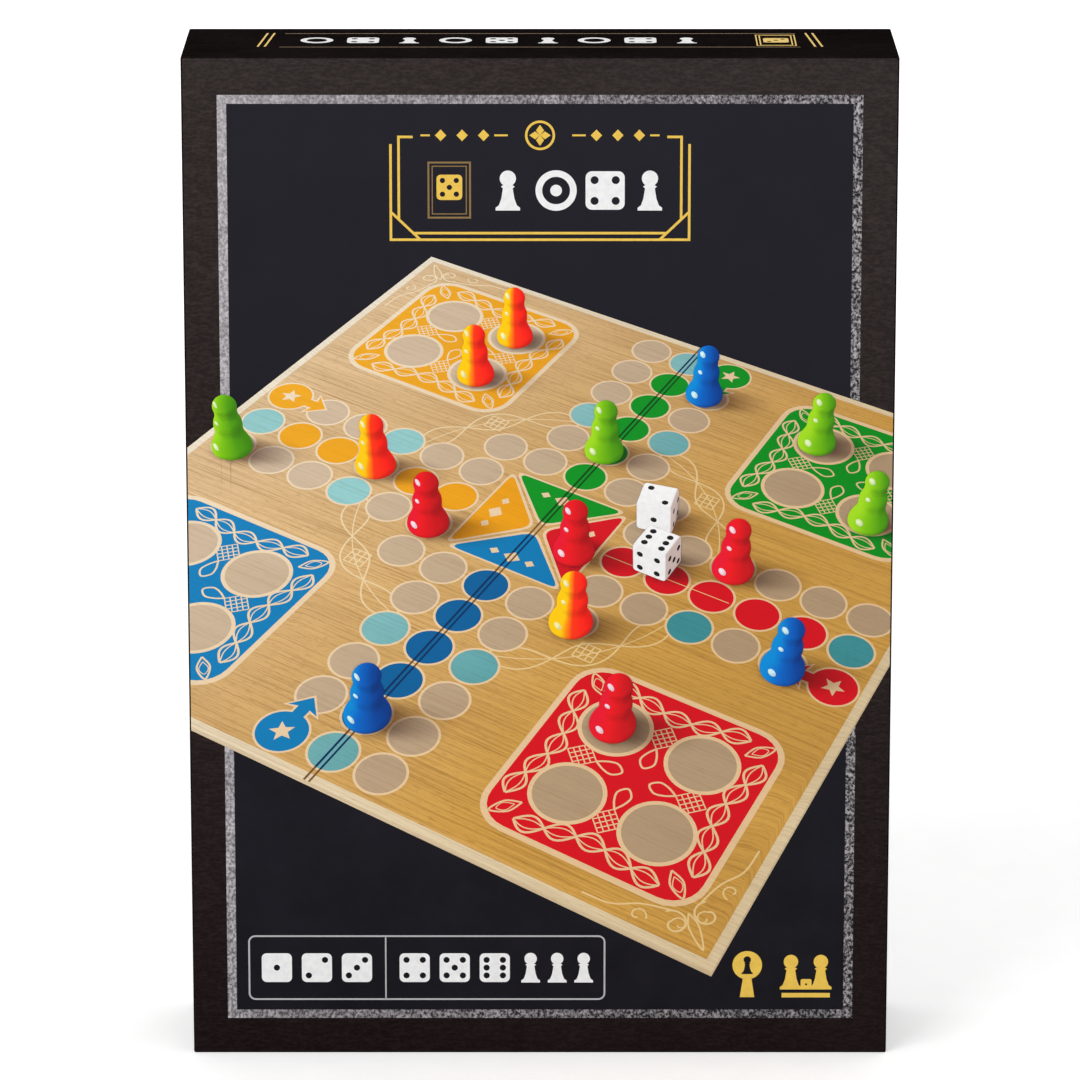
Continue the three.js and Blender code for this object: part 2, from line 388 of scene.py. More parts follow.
def speckled_silver(name):
    """A printed silver band with a marbled speckle, under painted light that is lighter to the
    upper left.
    """
    shade = Shading(name)
    across, _, up = shade.parts(shade.place)
    veins = shade.noise(900.0, 4.0, 0.75, (1.0, 1.0, 0.8))
    patch = shade.noise(160.0, 3.0, 0.6)
    # Painted light: lighter to the upper left and darker to the right, the veins showing less
    # where it is lit
    toward_shaded_corner = shade.math("SUBTRACT", across, shade.times(up, 0.3))
    depth = shade.band(toward_shaded_corner, -0.24, 0.06, 0.45, 1.25)
    dim = shade.times(shade.band(veins, 0.42, 0.6, 1.0, -0.15), depth)
    level = shade.times(shade.band(across, -0.12, 0.12, 1.02, 0.71),
                        shade.band(up, 0.0, 0.38, 0.84, 0.96))
    # The bands across the top and the foot are kept darker than the sides
    beside = shade.math("ABSOLUTE", across, 0.0)
    level = shade.times(level, shade.band(beside, 0.108, 0.118, 0.77, 1.0))
    level = shade.times(level, shade.math("SUBTRACT", 1.0, dim))
    level = shade.times(level, shade.band(patch, 0.35, 0.65, 0.75, 1.15))
    body = shade.mix(level, srgb(20, 17, 20), srgb(196, 191, 195))
    return shade.finish(body, PRINT_ROUGHNESS, (veins, 0.12, 0.0001),
                        Specular_IOR_Level=COVER_GLOSS)


def satin_ground(name, low, high):
    """A plain printed ground, with painted light that lightens it towards the top of the box."""
    shade = Shading(name)
    # Painted light: lighter from the foot towards the top of the box
    body = shade.over(low, high, shade.parts(shade.place)[2], 0.02, 0.36)
    body = shade.clouds(body, tinted(high, 1.3), (45.0, 5.0, 0.65), 0.35, 0.7, 0.3)
    return shade.printed(body, DARK_GLOSS)


def line_ink(name, colour):
    """Line work in one colour with the print's fine unevenness."""
    shade = Shading(name)
    body = shade.clouds(colour, tinted(colour, 0.66), (380.0, 3.0, 0.6), 0.35, 0.7, 0.3)
    return shade.printed(body, rough=0.4)


def fibre_board(name, colour, fleck):
    """Bare board: long pressed fibres, small dark and pale flecks."""
    shade = Shading(name)
    fibres = shade.noise(900.0, 4.0, 0.65, (1.0, 1.0, 0.12))
    body = shade.clouds(tinted(colour, 0.92), tinted(colour, 1.07), (22.0, 3.0, 0.5), 0.35, 0.65)
    body = shade.over(body, tinted(colour, 1.3), fibres, 0.4, 0.75, 0.35)
    body = shade.over(body, fleck, shade.cells(260.0), 0.16, 0.02, 0.7)
    return shade.finish(body, 0.92, (fibres, 0.3, 0.0003), Specular_IOR_Level=0.2)


def moulded_plastic(name, colour, rough=0.16, deep=0.75):
    """Glossy moulded plastic with a faint orange-peel and handling marks."""
    shade = Shading(name)
    peel = shade.noise(260.0, 2.0, 0.4)
    smear = shade.noise(60.0, 4.0, 0.7)
    body = shade.over(colour, tinted(colour, deep), smear, 0.35, 0.7, 0.35)
    return shade.finish(body, shade.band(smear, 0.35, 0.7, rough, rough + 0.12),
                        (peel, 0.04, 0.0004), Coat_Weight=0.3, Coat_Roughness=0.08)


def formed_sheet(name, colour):
    """Thermoformed sheet: satin, and faintly drawn towards the wells."""
    shade = Shading(name)
    satin = shade.noise(700.0, 3.0, 0.6)
    drawn = shade.noise(40.0, 3.0, 0.5, (1.0, 0.2, 1.0))
    body = shade.over(tinted(colour, 0.85), tinted(colour, 1.2), drawn, 0.35, 0.65)
    return shade.finish(body, shade.band(drawn, 0.35, 0.65, 0.34, 0.5), (satin, 0.12, 0.0002))


def pictured_plastic(name, shadow, body, light, edge=0.42, soft=0.2):
    """A moulded pawn as the printed picture shows it, from its pictured normals."""
    shade = Shading(name)
    form = shade.attribute("form")
    side = shade.band(shade.dot(form, (-0.99, 0.1, 0.0)), -1.0, 1.0)
    deep = tuple(a + (b - a) * 0.1 for a, b in zip(shadow, body))
    tone = shade.ramp(side, ((0.0, tinted(shadow, 0.72)), (0.12, shadow), (edge - soft, deep),
                             (edge + soft, body), (min(edge + 2.5 * soft, 0.95), light),
                             (1.0, light)))
    tone = shade.over(tone, tinted(shadow, 0.5), shade.parts(form)[1], -0.55, -0.95, 0.6)
    corner = shade.dot(form, (0.66, -0.72, -0.2))
    return shade.printed(shade.over(tone, tinted(shadow, 0.35), corner, 0.78, 0.99, 0.6))


def pictured_white(name, left, top, right):
    """The dice as the picture shows them, each side in its own tone."""
    shade = Shading(name)
    across, up, _ = shade.parts(shade.attribute("form"))
    tone = shade.over(left, right, across, 0.25, 0.6)
    tone = shade.over(tone, top, up, 0.45, 0.8)
    return shade.printed(shade.clouds(tone, right, (500.0, 3.0, 0.5), 0.4, 0.7, 0.15))


INKS = {
    "border": cover_border("print_cover_border"),
    "silver": speckled_silver("print_silver_band"),
    # The ground's dark colour at the foot, then its painted-light colour at the top
    "ground": satin_ground("print_night_ground", srgb(20, 19, 25), srgb(33, 32, 39)),
    "base": leatherette("paper_base", srgb(29, 26, 28), 0.08),
    "skirt": leatherette("paper_lid_skirt", srgb(21, 16, 16), 0.0),
    "die": pictured_white("print_die", srgb(240, 240, 240), srgb(247, 247, 246),
                          srgb(196, 174, 168)),
    "tray": formed_sheet("tray_black_sheet", srgb(46, 46, 49)),
}
# Each row holds colours as on screen, then plain values, in the order its maker takes them
INK_ROWS = (
    (line_ink, "print_", {
        "gold": [(236, 196, 84)],
        "dull_gold": [(138, 112, 70)],
        "white": [(240, 240, 240)],
        "grey": [(186, 184, 187)],
        "dark": [(24, 20, 20)],
        "pip": [(22, 22, 24)],
        "glint_blue": [(214, 248, 255)],
        "glint_red": [(255, 226, 238)],
        "glint_green": [(232, 252, 190)],
        "glint_yellow": [(255, 250, 176)],
    }),
    (pictured_plastic, "print_", {
        "pawn_blue": [(0, 62, 146), (0, 100, 196), (0, 138, 214)],
        "pawn_red": [(196, 16, 24), (236, 22, 30), (232, 20, 48)],
        "pawn_green": [(70, 146, 8), (122, 192, 12), (160, 218, 30)],
        "pawn_yellow": [(250, 30, 20), (255, 142, 6), (255, 202, 6), 0.51, 0.07],
    }),
    (board_print, "board_", {
        "wood": [(204, 155, 72), (220, 190, 150), 0.85],
        "side": [(206, 182, 144), (226, 212, 184), 0.5],
        "rim_strip": [(222, 200, 160), (236, 226, 206), 0.5],
        "cream": [(231, 196, 150), (238, 222, 194), 0.2],
        "thin_line": [(231, 198, 138), (238, 220, 188), 0.12],
        "beige": [(180, 153, 120), (206, 183, 156), 0.35, 0.66],
        "teal": [(62, 144, 150), (146, 200, 200), 0.35, 0.5],
        "orange": [(234, 153, 4), (238, 170, 38), 0.2],
        "green": [(0, 142, 26), (14, 154, 44), 0.12],
        "red": [(217, 12, 28), (212, 28, 42), 0.12],
        "blue": [(0, 120, 178), (24, 128, 186), 0.14],
        "deep_blue": [(0, 92, 150), (16, 104, 160), 0.2],
        "crease": [(112, 76, 40), (138, 108, 74), 0.3],
        "blue_crease": [(0, 42, 84), (0, 48, 92), 0.2],
        "green_crease": [(0, 58, 16), (4, 62, 22), 0.2],
    }),
)
for make_ink, prefix, rows in INK_ROWS:
    for key, row in rows.items():
        values = [srgb(*value) if isinstance(value, tuple) else value for value in row]
        INKS[key] = make_ink(prefix + key, *values)

# What the fold's crease makes of the inks under it
FOLD_SHADES = {
    "wood": "crease", "rim_strip": "crease", "cream": "crease", "thin_line": "crease",
    "beige": "crease", "blue": "blue_crease", "deep_blue": "blue_crease",
    "teal": "blue_crease", "green": "green_crease",
}


# Flat art: outlines in a plane, painted one over the other, then cut into one sheet

def clamped(value, low, high):
    return max(low, min(high, value))


def polar(radius, angle, centre=(0.0, 0.0)):
    return (centre[0] + radius * math.cos(angle), centre[1] + radius * math.sin(angle))


def circle(centre, radius, steps=36, start=0.0, end=math.tau):
    count = steps if end - start >= math.tau else steps + 1
    return [polar(radius, start + (end - start) * step / steps, centre)
            for step in range(count)]


def spiral(centre, start_radius, end_radius, start, turn, steps):
    return [polar(start_radius + (end_radius - start_radius) * step / steps,
                  start + turn * step / steps, centre) for step in range(steps + 1)]


def plain_box(low, high):
    return [low, (high[0], low[1]), high, (low[0], high[1])]


def square(centre, half):
    return plain_box(*[tuple(c + side * half for c in centre) for side in (-1, 1)])


def front_box(low, high, inset=0.0):
    """A node's box as seen from the front, drawn in on all sides."""
    return (low.x + inset, low.z + inset), (high.x - inset, high.z - inset)


def rounded_box(low, high, radius, steps=6):
    left, foot = low[0] + radius, low[1] + radius
    right, top = high[0] - radius, high[1] - radius
    points = []
    for quarter, centre in enumerate(((right, top), (left, top), (left, foot), (right, foot))):
        start = quarter * math.pi / 2
        points += circle(centre, radius, steps, start, start + math.pi / 2)
    return points


def diamond(x, z, wide, tall):
    return [(x, z - tall), (x + wide, z), (x, z + tall), (x - wide, z)]


def turned(point, quarter, centre=(MIDDLE, MIDDLE)):
    """A point about a centre, turned by quarter turns."""
    x, y = point
    for _ in range(quarter):
        x, y = -y, x
    return (centre[0] + x, centre[1] + y)


def smooth_path(points, steps=7):
    """A Catmull-Rom curve through given points."""
    ends = [Vector(p) for p in (points[0], *points, points[-1])]
    path = []
    for a, b, c, d in zip(ends, ends[1:], ends[2:], ends[3:]):
        for step in range(steps):
            t = step / steps
            path.append(tuple(0.5 * (
                2 * b + (c - a) * t + (2 * a - 5 * b + 4 * c - d) * t ** 2
                + (3 * b - a - 3 * c + d) * t ** 3)))
    return path + [tuple(points[-1])]


def rounded_polygon(points, radius, steps=4):
    """A convex polygon with its corners rounded off."""
    points = [Vector(point) for point in points]
    result = []
    for index, here in enumerate(points):
        start = here + (points[index - 1] - here).normalized() * radius
        end = here + (points[(index + 1) % len(points)] - here).normalized() * radius
        for step in range(steps + 1):
            t = step / steps
            result.append(tuple(
                start * (1 - t) ** 2 + here * 2 * t * (1 - t) + end * t ** 2))
    return result


def stroke(points, width, closed):
    """Quads along a polyline, mitred so that neighbours share their ends."""
    points = [Vector(point) for point in points]
    last = len(points) - 1
    sides = []
    for index, here in enumerate(points):
        out = into = None
        if index or closed:
            into = (here - points[index - 1]).normalized()
        if index < last or closed:
            out = (points[index - last] - here).normalized()
        into, out = into or out, out or into
        along = (into + out).normalized() if (into + out).length > 0.01 else out
        offset = Vector((-along.y, along.x)) * width / 2 / max(along.dot(out), 0.5)
        sides.append((here + offset, here - offset))
    ends = sides[1:] + (sides[:1] if closed else [])
    return [[left, next_left, next_right, right]
            for (left, right), (next_left, next_right) in zip(sides, ends)]


def table(rows):
    return np.array([tuple(row) for row in rows])


def inside(shape, points):
    """Which points lie inside an outline, by counting its crossings to the right."""
    crossings = np.zeros(len(points), int)
    for (x1, y1), (x2, y2) in zip(shape, np.roll(shape, -1, axis=0)):
        if y1 != y2:
            spans = (points[:, 1] >= min(y1, y2)) & (points[:, 1] < max(y1, y2))
            reach = x1 + (points[:, 1] - y1) * (x2 - x1) / (y2 - y1)
            crossings += spans & (points[:, 0] < reach)
    return crossings % 2 == 1


class Art:
    """Outlines in painting order. place maps each drawn point into the sheet's plane.

    An ink is a name, None for a hole, or a table of what each ink under it turns into.
    """

    def __init__(self, boundary, ink):
        self.shapes = [(boundary, ink)]
        self.points = []
        self.place = None
        self.low, self.high = (
            Vector([pick(point[axis] for point in boundary) for axis in (0, 1)])
            for pick in (min, max))

    def paint(self, outline, ink):
        placed = [self.place(point) for point in outline] if self.place else outline
        beyond = any(
            all(point[axis] < self.low[axis] for point in placed)
            or all(point[axis] > self.high[axis] for point in placed) for axis in (0, 1))
        if not beyond:
            self.shapes.append((placed, ink))

    def line(self, points, width, ink, closed=False):
        for quad in stroke(points, width, closed):
            self.paint(quad, ink)

    def cut(self):
        """The plane's points, and its triangles with the ink that lies uppermost on each."""
        flat, edges = [], []
        for outline, _ in self.shapes:
            start, count = len(flat), len(outline)
            flat += [Vector(point) for point in outline]
            edges += [(start + index, start + (index + 1) % count) for index in range(count)]
        flat += [Vector(point) for point in self.points]
        points, _, triangles = delaunay_2d_cdt(flat, edges, [], 0, 1e-4, False)[:3]
        centres = table(points)[table(triangles)].mean(axis=1)
        order = np.argsort(centres[:, 0])
        centres = centres[order]
        inks = [None, *INKS]
        painted = np.zeros(len(order), int)
        for outline, ink in self.shapes:
            shape = table(outline)
            low, high = shape.min(axis=0), shape.max(axis=0)
            near = np.arange(*np.searchsorted(centres[:, 0], (low[0], high[0])))
            heights = centres[near, 1]
            near = near[(heights >= low[1]) & (heights <= high[1])]
            near = near[inside(shape, centres[near])]
            if isinstance(ink, dict):
                swaps = np.array([inks.index(ink.get(name, name)) for name in inks])
                painted[near] = swaps[painted[near]]
            else:
                painted[near] = inks.index(ink)
        within = inside(table(self.shapes[0][0]), centres)
        kept = [(triangles[order[rank]], inks[painted[rank]])
                for rank in np.nonzero(within & (painted > 0))[0]]
        return points, kept


# Meshes and pieces

def linked(name, data):
    thing = bpy.data.objects.new(name, data)
    bpy.context.scene.collection.objects.link(thing)
    return thing


def new_piece(name, mesh, materials, body, stands_for=()):
    piece = linked(name, mesh)
    for material in materials:
        mesh.materials.append(material)
    if body:
        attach(piece, body)
    if stands_for:
        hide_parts(*stands_for)
    return piece


def face_outward(bm):
    """Turns the faces of each separate closed part away from its inside."""
    bmesh.ops.recalc_face_normals(bm, faces=bm.faces)
    waiting = set(bm.faces)
    while waiting:
        part = [waiting.pop()]
        origin = part[0].verts[0].co
        for face in part:
            for other in {near for edge in face.edges for near in edge.link_faces} & waiting:
                waiting.remove(other)
                part.append(other)
        if sum(face.normal.dot(face.calc_center_median() - origin) * face.calc_area()
               for face in part) < 0:
            bmesh.ops.reverse_faces(bm, faces=part)


def smooth(mesh, angle):
    mesh.shade_smooth()
    mesh.set_sharp_from_angle(angle=math.radians(angle))


def to_mesh(bm, name, smooth_angle=None):
    face_outward(bm)
    mesh = bpy.data.meshes.new(name)
    bm.to_mesh(mesh)
    bm.free()
    if smooth_angle is not None:
        smooth(mesh, smooth_angle)
    return mesh


def applied(piece):
    """The piece's mesh with its modifiers worked in."""
    graph = bpy.context.evaluated_depsgraph_get()
    mesh = bpy.data.meshes.new_from_object(piece.evaluated_get(graph))
    piece.modifiers.clear()
    piece.data = mesh
    return mesh


def bridge(bm, first, second, material):
    for index in range(len(first)):
        following = (index + 1) % len(first)
        face = bm.faces.new([first[index], first[following],
                             second[following], second[index]])
        face.material_index = material


def extruded(name, section, levels, smooth_angle):
    """A closed form with one section, drawn up through the levels."""
    bm = bmesh.new()
    rows = [[bm.verts.new(Vector((x, y, z)) * MM) for x, y in section] for z in levels]
    for lower, upper in zip(rows, rows[1:]):
        bridge(bm, lower, upper, 0)
    bm.faces.new(rows[0])
    bm.faces.new(rows[-1])
    return to_mesh(bm, name, smooth_angle)


def thickened(line, half):
    """The outline of a strip that follows a line, half as thick to each side of it."""
    sides = []
    for index, point in enumerate(line):
        before = Vector(line[max(index - 1, 0)])
        after = Vector(line[min(index + 1, len(line) - 1)])
        along = (after - before).normalized()
        side = Vector((along.y, -along.x)) * half
        sides.append((Vector(point) + side, Vector(point) - side))
    return [outer for outer, _ in sides] + [inner for _, inner in reversed(sides)]


def grown(point, low, high, radius, out):
    """Where a point of a rounded box's outline goes when the box grows by out."""
    centre = Vector(clamped(point[a], low[a] + radius, high[a] - radius) for a in (0, 1))
    away = (Vector(point[:2]) - centre).normalized()
    radius = max(radius + out, 0.03)
    centre = Vector(
        clamped(centre[a], low[a] - out + radius, high[a] + out - radius) for a in (0, 1))
    return centre + away * radius


def sweep(bm, rim, low, high, radius, steps, depth, material=0):
    """Carries a rounded box's rim along (outward, back) steps, and notes each depth."""
    previous = rim
    for out, back in steps:
        loop = []
        for vert in rim:
            x, y = grown(vert.co, low, high, radius, out)
            loop.append(bm.verts.new((x, y, 0)))
            depth[loop[-1]] = back
        bridge(bm, previous, loop, material)
        previous = loop
    return previous


def rim_loops(bm):
    """The sheet's edges, each as its vertices in order."""
    nexts = {}
    for edge in bm.edges:
        if len(edge.link_faces) == 1:
            loop = edge.link_loops[0]
            nexts[loop.vert] = loop.link_loop_next.vert
    loops = []
    while nexts:
        rim = []
        vert = next(iter(nexts))
        while vert in nexts:
            rim.append(vert)
            vert = nexts.pop(vert)
        loops.append(rim)
    return loops


def art_mesh(bm, art):
    """The cut art as flat faces, and the ink keys in material order."""
    points, kept = art.cut()
    used = sorted({ink for _, ink in kept})
    verts = {}
    for triangle, ink in kept:
        for index in triangle:
            if index not in verts:
                verts[index] = bm.verts.new((points[index].x, points[index].y, 0))
        face = bm.faces.new([verts[index] for index in triangle])
        face.material_index = used.index(ink)
    return used


def printed_sheet(name, art, radius, face_y, way, profile, edge_ink, body, node, field):
    """One closed sheet: the art on its face, its edge swept along profile, closed behind.

    The face lies at face_y, and way is the sign of Y behind it. field(x, z) gives the
    board's coordinates, the printed light and the haze at a point.
    """
    bm = bmesh.new()
    board = bm.verts.layers.float_vector.new("board")
    haze = bm.verts.layers.float.new("haze")
    used = art_mesh(bm, art)
    if edge_ink not in used:
        used.append(edge_ink)
    edge = used.index(edge_ink)
    depth = {}
    back = sweep(bm, rim_loops(bm)[0], art.low, art.high, radius, profile, depth, edge)
    last = bm.faces.new(back)
    last.material_index = edge
    bmesh.ops.triangulate(bm, faces=[last])
    for vert in bm.verts:
        x, z, _ = vert.co
        if field:
            across, along, lit, vert[haze] = field(x, z)
            vert[board] = (across, along, lit)
        vert.co = Vector((x, face_y + way * depth.get(vert, 0.0), z)) * MM
    inks = [INKS[ink] for ink in used]
    return new_piece(name, to_mesh(bm, name, 35), inks, body, (node,))


def plates(name, art, thickness, lift, body):
    """Thin closed plates, one for each patch of ink, for print on a panel's side."""
    bm = bmesh.new()
    used = art_mesh(bm, art)
    faces = list(bm.faces)
    behind = {vert: bm.verts.new(vert.co) for vert in list(bm.verts)}
    for loop in [edge.link_loops[0] for edge in bm.edges if len(edge.link_faces) == 1]:
        a, b = loop.vert, loop.link_loop_next.vert
        face = bm.faces.new([b, a, behind[a], behind[b]])
        face.material_index = loop.face.material_index
    for face in faces:
        copy = bm.faces.new([behind[vert] for vert in reversed(face.verts)])
        copy.material_index = face.material_index
    for vert in bm.verts:
        raised = thickness if vert in behind else 0.0
        vert.co = Vector(lift(vert.co.x, vert.co.y, raised)) * MM
    return new_piece(name, to_mesh(bm, name), [INKS[ink] for ink in used], body)


# The ludo board's print, in board mm: across (u) and along the fold (v)

YARDS = {"orange": (-1, -1), "green": (1, -1), "red": (1, 1), "blue": (-1, 1)}
ARMS = ("blue", "orange", "green", "red")
ARROW = ((2.6, 8.0), (2.6, 13.4), (6.6, 12.2), (0.0, 19.6), (-6.6, 12.2), (-2.6, 13.4),
         (-2.6, 8.0))
# Line ornament of a yard's side, drawn below its middle
SCROLL_LOOP = ((0.0, -17.8), (2.3, -13.6), (3.0, -9.4), (0.0, -6.2), (-3.0, -9.4),
               (-2.3, -13.6), (0.0, -17.8))
# Line ornament of the bare wood's corners, drawn from the board's middle
CORNER_TAIL = ((147.8, 140.0), (150.5, 130.0), (155.4, 121.0), (156.2, 110.0))
CORNER_LEAF = ((146.0, 146.0), (151.5, 149.0), (156.8, 156.8), (149.0, 151.5), (146.0, 146.0))


def ringed(art, centre, radius, ink, width=1.0, steps=36):
    art.paint(circle(centre, radius + width, steps), "cream")
    art.paint(circle(centre, radius, steps), ink)


def board_spots(art, quarter, home):
    """One arm: the track's two outer columns, its corner spot and the home column."""
    ringed(art, turned((2 * PITCH, 2 * PITCH), quarter), SPOT, "beige")
    for row in range(2, 8):
        spots = [(-1, "teal" if row == 4 else "beige"), (1, "teal" if row == 4 else "beige"),
                 (0, "teal" if row == 7 else home)]
        for column, ink in spots[row // 7:]:
            ringed(art, turned((column * PITCH, row * PITCH), quarter), SPOT, ink)


def start_disc(art, quarter, ink):
    """The disc at the corner of an arm, with an arrow that points at its first spot."""
    x, y = -1.06 * PITCH, 7.06 * PITCH
    centre = turned((x, y), quarter)
    arrow = [turned((x + across, y - ahead), quarter) for across, ahead in ARROW]
    art.paint(circle(centre, 10.8), "cream")
    art.line(arrow, 1.9, "cream", True)
    art.paint(circle(centre, 9.9), ink)
    art.paint(arrow, ink)
    first = math.pi / 2 + quarter * math.pi / 2
    art.paint([polar((5.0, 2.2)[step % 2], first + math.tau * step / 10, centre)
               for step in range(10)], "cream")


def home_triangle(art, quarter, ink):
    """A quarter of the middle, its point at the board's centre."""
    def draw(points, key):
        art.paint([turned(p, quarter) for p in points], key)

    for grow, key in ((1.0, "cream"), (0.0, ink)):
        wide, far = 26.8 + 2.4 * grow, 28.8 + 1.0 * grow
        points = [(0, 3.0 - 1.9 * grow), (wide, far), (-wide, far)]
        draw(rounded_polygon(points, 5.0 + grow), key)
    for x, size in ((-8.6, 2.4), (0, 4.0), (8.6, 2.4)):
        draw(diamond(x, 21.6, size, size * 0.85), "cream")


def lattice(reach, count):
    """Lines that cross over a diamond, each as its two ends."""
    levels = [reach * (2 * number / (count - 1) - 1) for number in range(count)]
    return [[(mirror * (level - end) / 2, (level + end) / 2) for end in (-reach, reach)]
            for level in levels for mirror in (-1, 1)]


def yard_scrolls(art, centre, quarter):
    """Line ornament on one side of a yard: a plaited band, a net, a loop and a leaf."""
    def draw(points, width):
        art.line([turned((x * SCROLL_SCALE, y * SCROLL_SCALE), quarter, centre)
                  for x, y in points], width, "cream")

    places = [2 * step / 44 - 1 for step in range(45)]
    for swing, width in ((4.3, 0.95), (2.1, 0.5)):
        for side in (-1, 1):
            draw([(31.5 * t, -38.6 + 2.4 * math.cos(math.pi * t)
                   + side * swing * math.cos(2.5 * math.pi * t)) for t in places], width)
    for line in lattice(6.6, 5):
        draw([(x, y - 24.4) for x, y in line], 0.5)
    draw(smooth_path(SCROLL_LOOP), 0.8)
    for grow, width in ((0.0, 0.75), (2.1, 0.4)):
        near, middle, tip = 32.6 + grow, 35.2 + grow / 2, 42.0 - grow
        leaf = [(near, near), (39.0, middle), (tip, tip), (middle, 39.0), (near, near)]
        draw([(x, -y) for x, y in smooth_path(leaf, 5)], width)


def yard(art, ink, corner):
    centre = tuple(MIDDLE + way * YARD_CENTRE for way in corner)
    for grow, key in ((YARD_FRAME, "cream"), (0.0, ink)):
        low, _, high, _ = square(centre, YARD_HALF + grow)
        art.paint(rounded_box(low, high, 12 + grow), key)
    for quarter in range(4):
        yard_scrolls(art, centre, quarter)
    for x in (-YARD_SPOT, YARD_SPOT):
        for y in (-YARD_SPOT, YARD_SPOT):
            ringed(art, (centre[0] + x, centre[1] + y), 12.9, "beige", 1.65, 44)


def wood_scrolls(art, quarter):
    """Fine pale ornament on the bare wood: plaited arcs round the middle, corner curls."""
    def draw(points, width):
        art.line([turned(p, quarter) for p in points], width, "thin_line")

    places = [2 * step / 36 - 1 for step in range(37)]
    for swing, width in ((-6.0, 0.75), (6.0, 0.75), (0.0, 0.5)):
        draw([polar(79.0 + swing * math.cos(1.5 * math.pi * t), math.pi / 4 + 0.54 * t)
              for t in places], width)
    for line in lattice(6.0, 4):
        draw([((x - y) * 0.707 + 55.0, (x + y) * 0.707 + 55.0) for x, y in line], 0.6)
    curls = (
        (spiral((152.2, 143.5), 5.6, 1.2, -math.pi / 2 - 0.6, -6.2, 30), 0.75),
        (smooth_path(CORNER_TAIL), 0.7),
        (spiral((155.2, 131.0), 3.4, 0.8, math.pi / 2, 5.4, 22), 0.6),
        (spiral((145.4, 151.6), 3.0, 0.8, math.pi, 5.4, 22), 0.55),
    )
    for points, width in curls:
        draw(points, width)
        draw([(y, x) for x, y in points], width)
    draw(smooth_path(CORNER_LEAF), 0.65)


def board_art(art):
    near, far = RIM_STRIP, BOARD - RIM_STRIP
    art.paint(plain_box((0, 0), (BOARD, BOARD)), "wood")
    for low, high in (((0, 0), (BOARD, near)), ((0, far), (BOARD, BOARD)),
                      ((0, near), (near, far)), ((far, near), (BOARD, far))):
        art.paint(plain_box(low, high), "rim_strip")
    for quarter in range(4):
        wood_scrolls(art, quarter)
    for ink, corner in YARDS.items():
        yard(art, ink, corner)
    for quarter, ink in enumerate(ARMS):
        board_spots(art, quarter, "deep_blue" if ink == "blue" else ink)
        home_triangle(art, quarter, ink)
        start_disc(art, quarter, ink)


# The cover's picture of the board

def homography(source, target):
    """The plane-to-plane projection that takes four points to four points."""
    rows, values = [], []
    for (x, y), (u, v) in zip(source, target):
        rows.append([x, y, 1, 0, 0, 0, -u * x, -u * y])
        rows.append([0, 0, 0, x, y, 1, -v * x, -v * y])
        values += [u, v]
    return np.append(np.linalg.solve(rows, values), 1.0).reshape(3, 3)


class Picture:
    """How a printed photograph shows the board: (u, v, height) in mm to the cover's mm."""

    def __init__(self):
        flat = homography(plain_box((0, 0), (BOARD, BOARD)), PICTURED_CORNERS)
        lens = np.array([[PICTURE_FOCAL, 0, PICTURE_CENTRE[0]],
                         [0, PICTURE_FOCAL, PICTURE_CENTRE[1]], [0, 0, 1.0]])
        first, second = (np.linalg.inv(lens) @ flat[:, column] for column in (0, 1))
        self.size = math.sqrt(np.linalg.norm(first) * np.linalg.norm(second))
        upright = np.cross(first, second)
        upright /= np.linalg.norm(upright)
        column = lens @ (upright * self.size)
        self.axes = np.column_stack([first / np.linalg.norm(first),
                                     second / np.linalg.norm(second), upright])
        column[0] += PICTURE_LEAN
        self.matrix = np.column_stack([flat[:, 0], flat[:, 1], column, flat[:, 2]])
        self.inverse = np.linalg.inv(flat)

    def project(self, u, v, height=0.0):
        """The cover's mm of a point, and how far it is from the picture's camera."""
        x, z, scale = self.matrix @ (u, v, height, 1.0)
        return (x / scale, z / scale, scale / self.size)

    def place(self, point):
        return self.project(*point)[:2]

    def board(self, across, up):
        x, y, scale = self.inverse @ (across, up, 1.0)
        return (x / scale, y / scale)

    def facing(self, normal):
        """A direction on the board as the picture sees it: right, up, away."""
        return Vector(self.axes @ tuple(normal))


PICTURE = Picture()
PAWN_PLACES = [(ink, place) for ink, places in PICTURED_PAWNS.items() for place in places]


def printed_light(u, v):
    """How lit the pictured board is at a point: 1 in the open, less beside a pawn or a die."""
    light = 1.0 - RIGHT_DIM * clamped((u - v + 100) / 300, 0, 1)
    things = [(place, PAWN_SHADOW) for _, place in PAWN_PLACES]
    things += [(place, DIE_SHADOW) for place, _, _ in PICTURED_DICE]
    for place, (radius, reach) in things:
        away = Vector((u - place[0], v - place[1]))
        if away.length > reach + radius + SHADOW_EDGE:
            continue
        along = away.dot(SHADOW_WAY)
        across = abs(away.x * SHADOW_WAY.y - away.y * SHADOW_WAY.x)
        gap = max(away.length - radius * 0.85, 0)
        touch = math.exp(-(gap / CONTACT) ** 2) * CONTACT_DEPTH
        tail = clamped((along - radius) / reach, 0, 1)
        width = radius * (1.0 - SHADOW_NARROWS * tail)
        streak = 0.0
        if along > 0:
            streak = math.exp(-(across / width) ** 4) * (1 - tail) ** SHADOW_FADE
        if along < 0:
            touch *= CONTACT_LIT_SIDE
        light *= 1 - SHADOW_DEPTH * max(touch, streak)
    return light


def pictured_field(across, up):
    u, v = PICTURE.board(across, up)
    if not (-4 < u < BOARD + 4 and -4 < v < BOARD + 4):
        return (clamped(u, -60, 400), clamped(v, -60, 400), 1.0, 0.0)
    return (u, v, printed_light(u, v), clamped(0.95 - 0.0036 * u - 0.0005 * v, 0.0, 1.0))


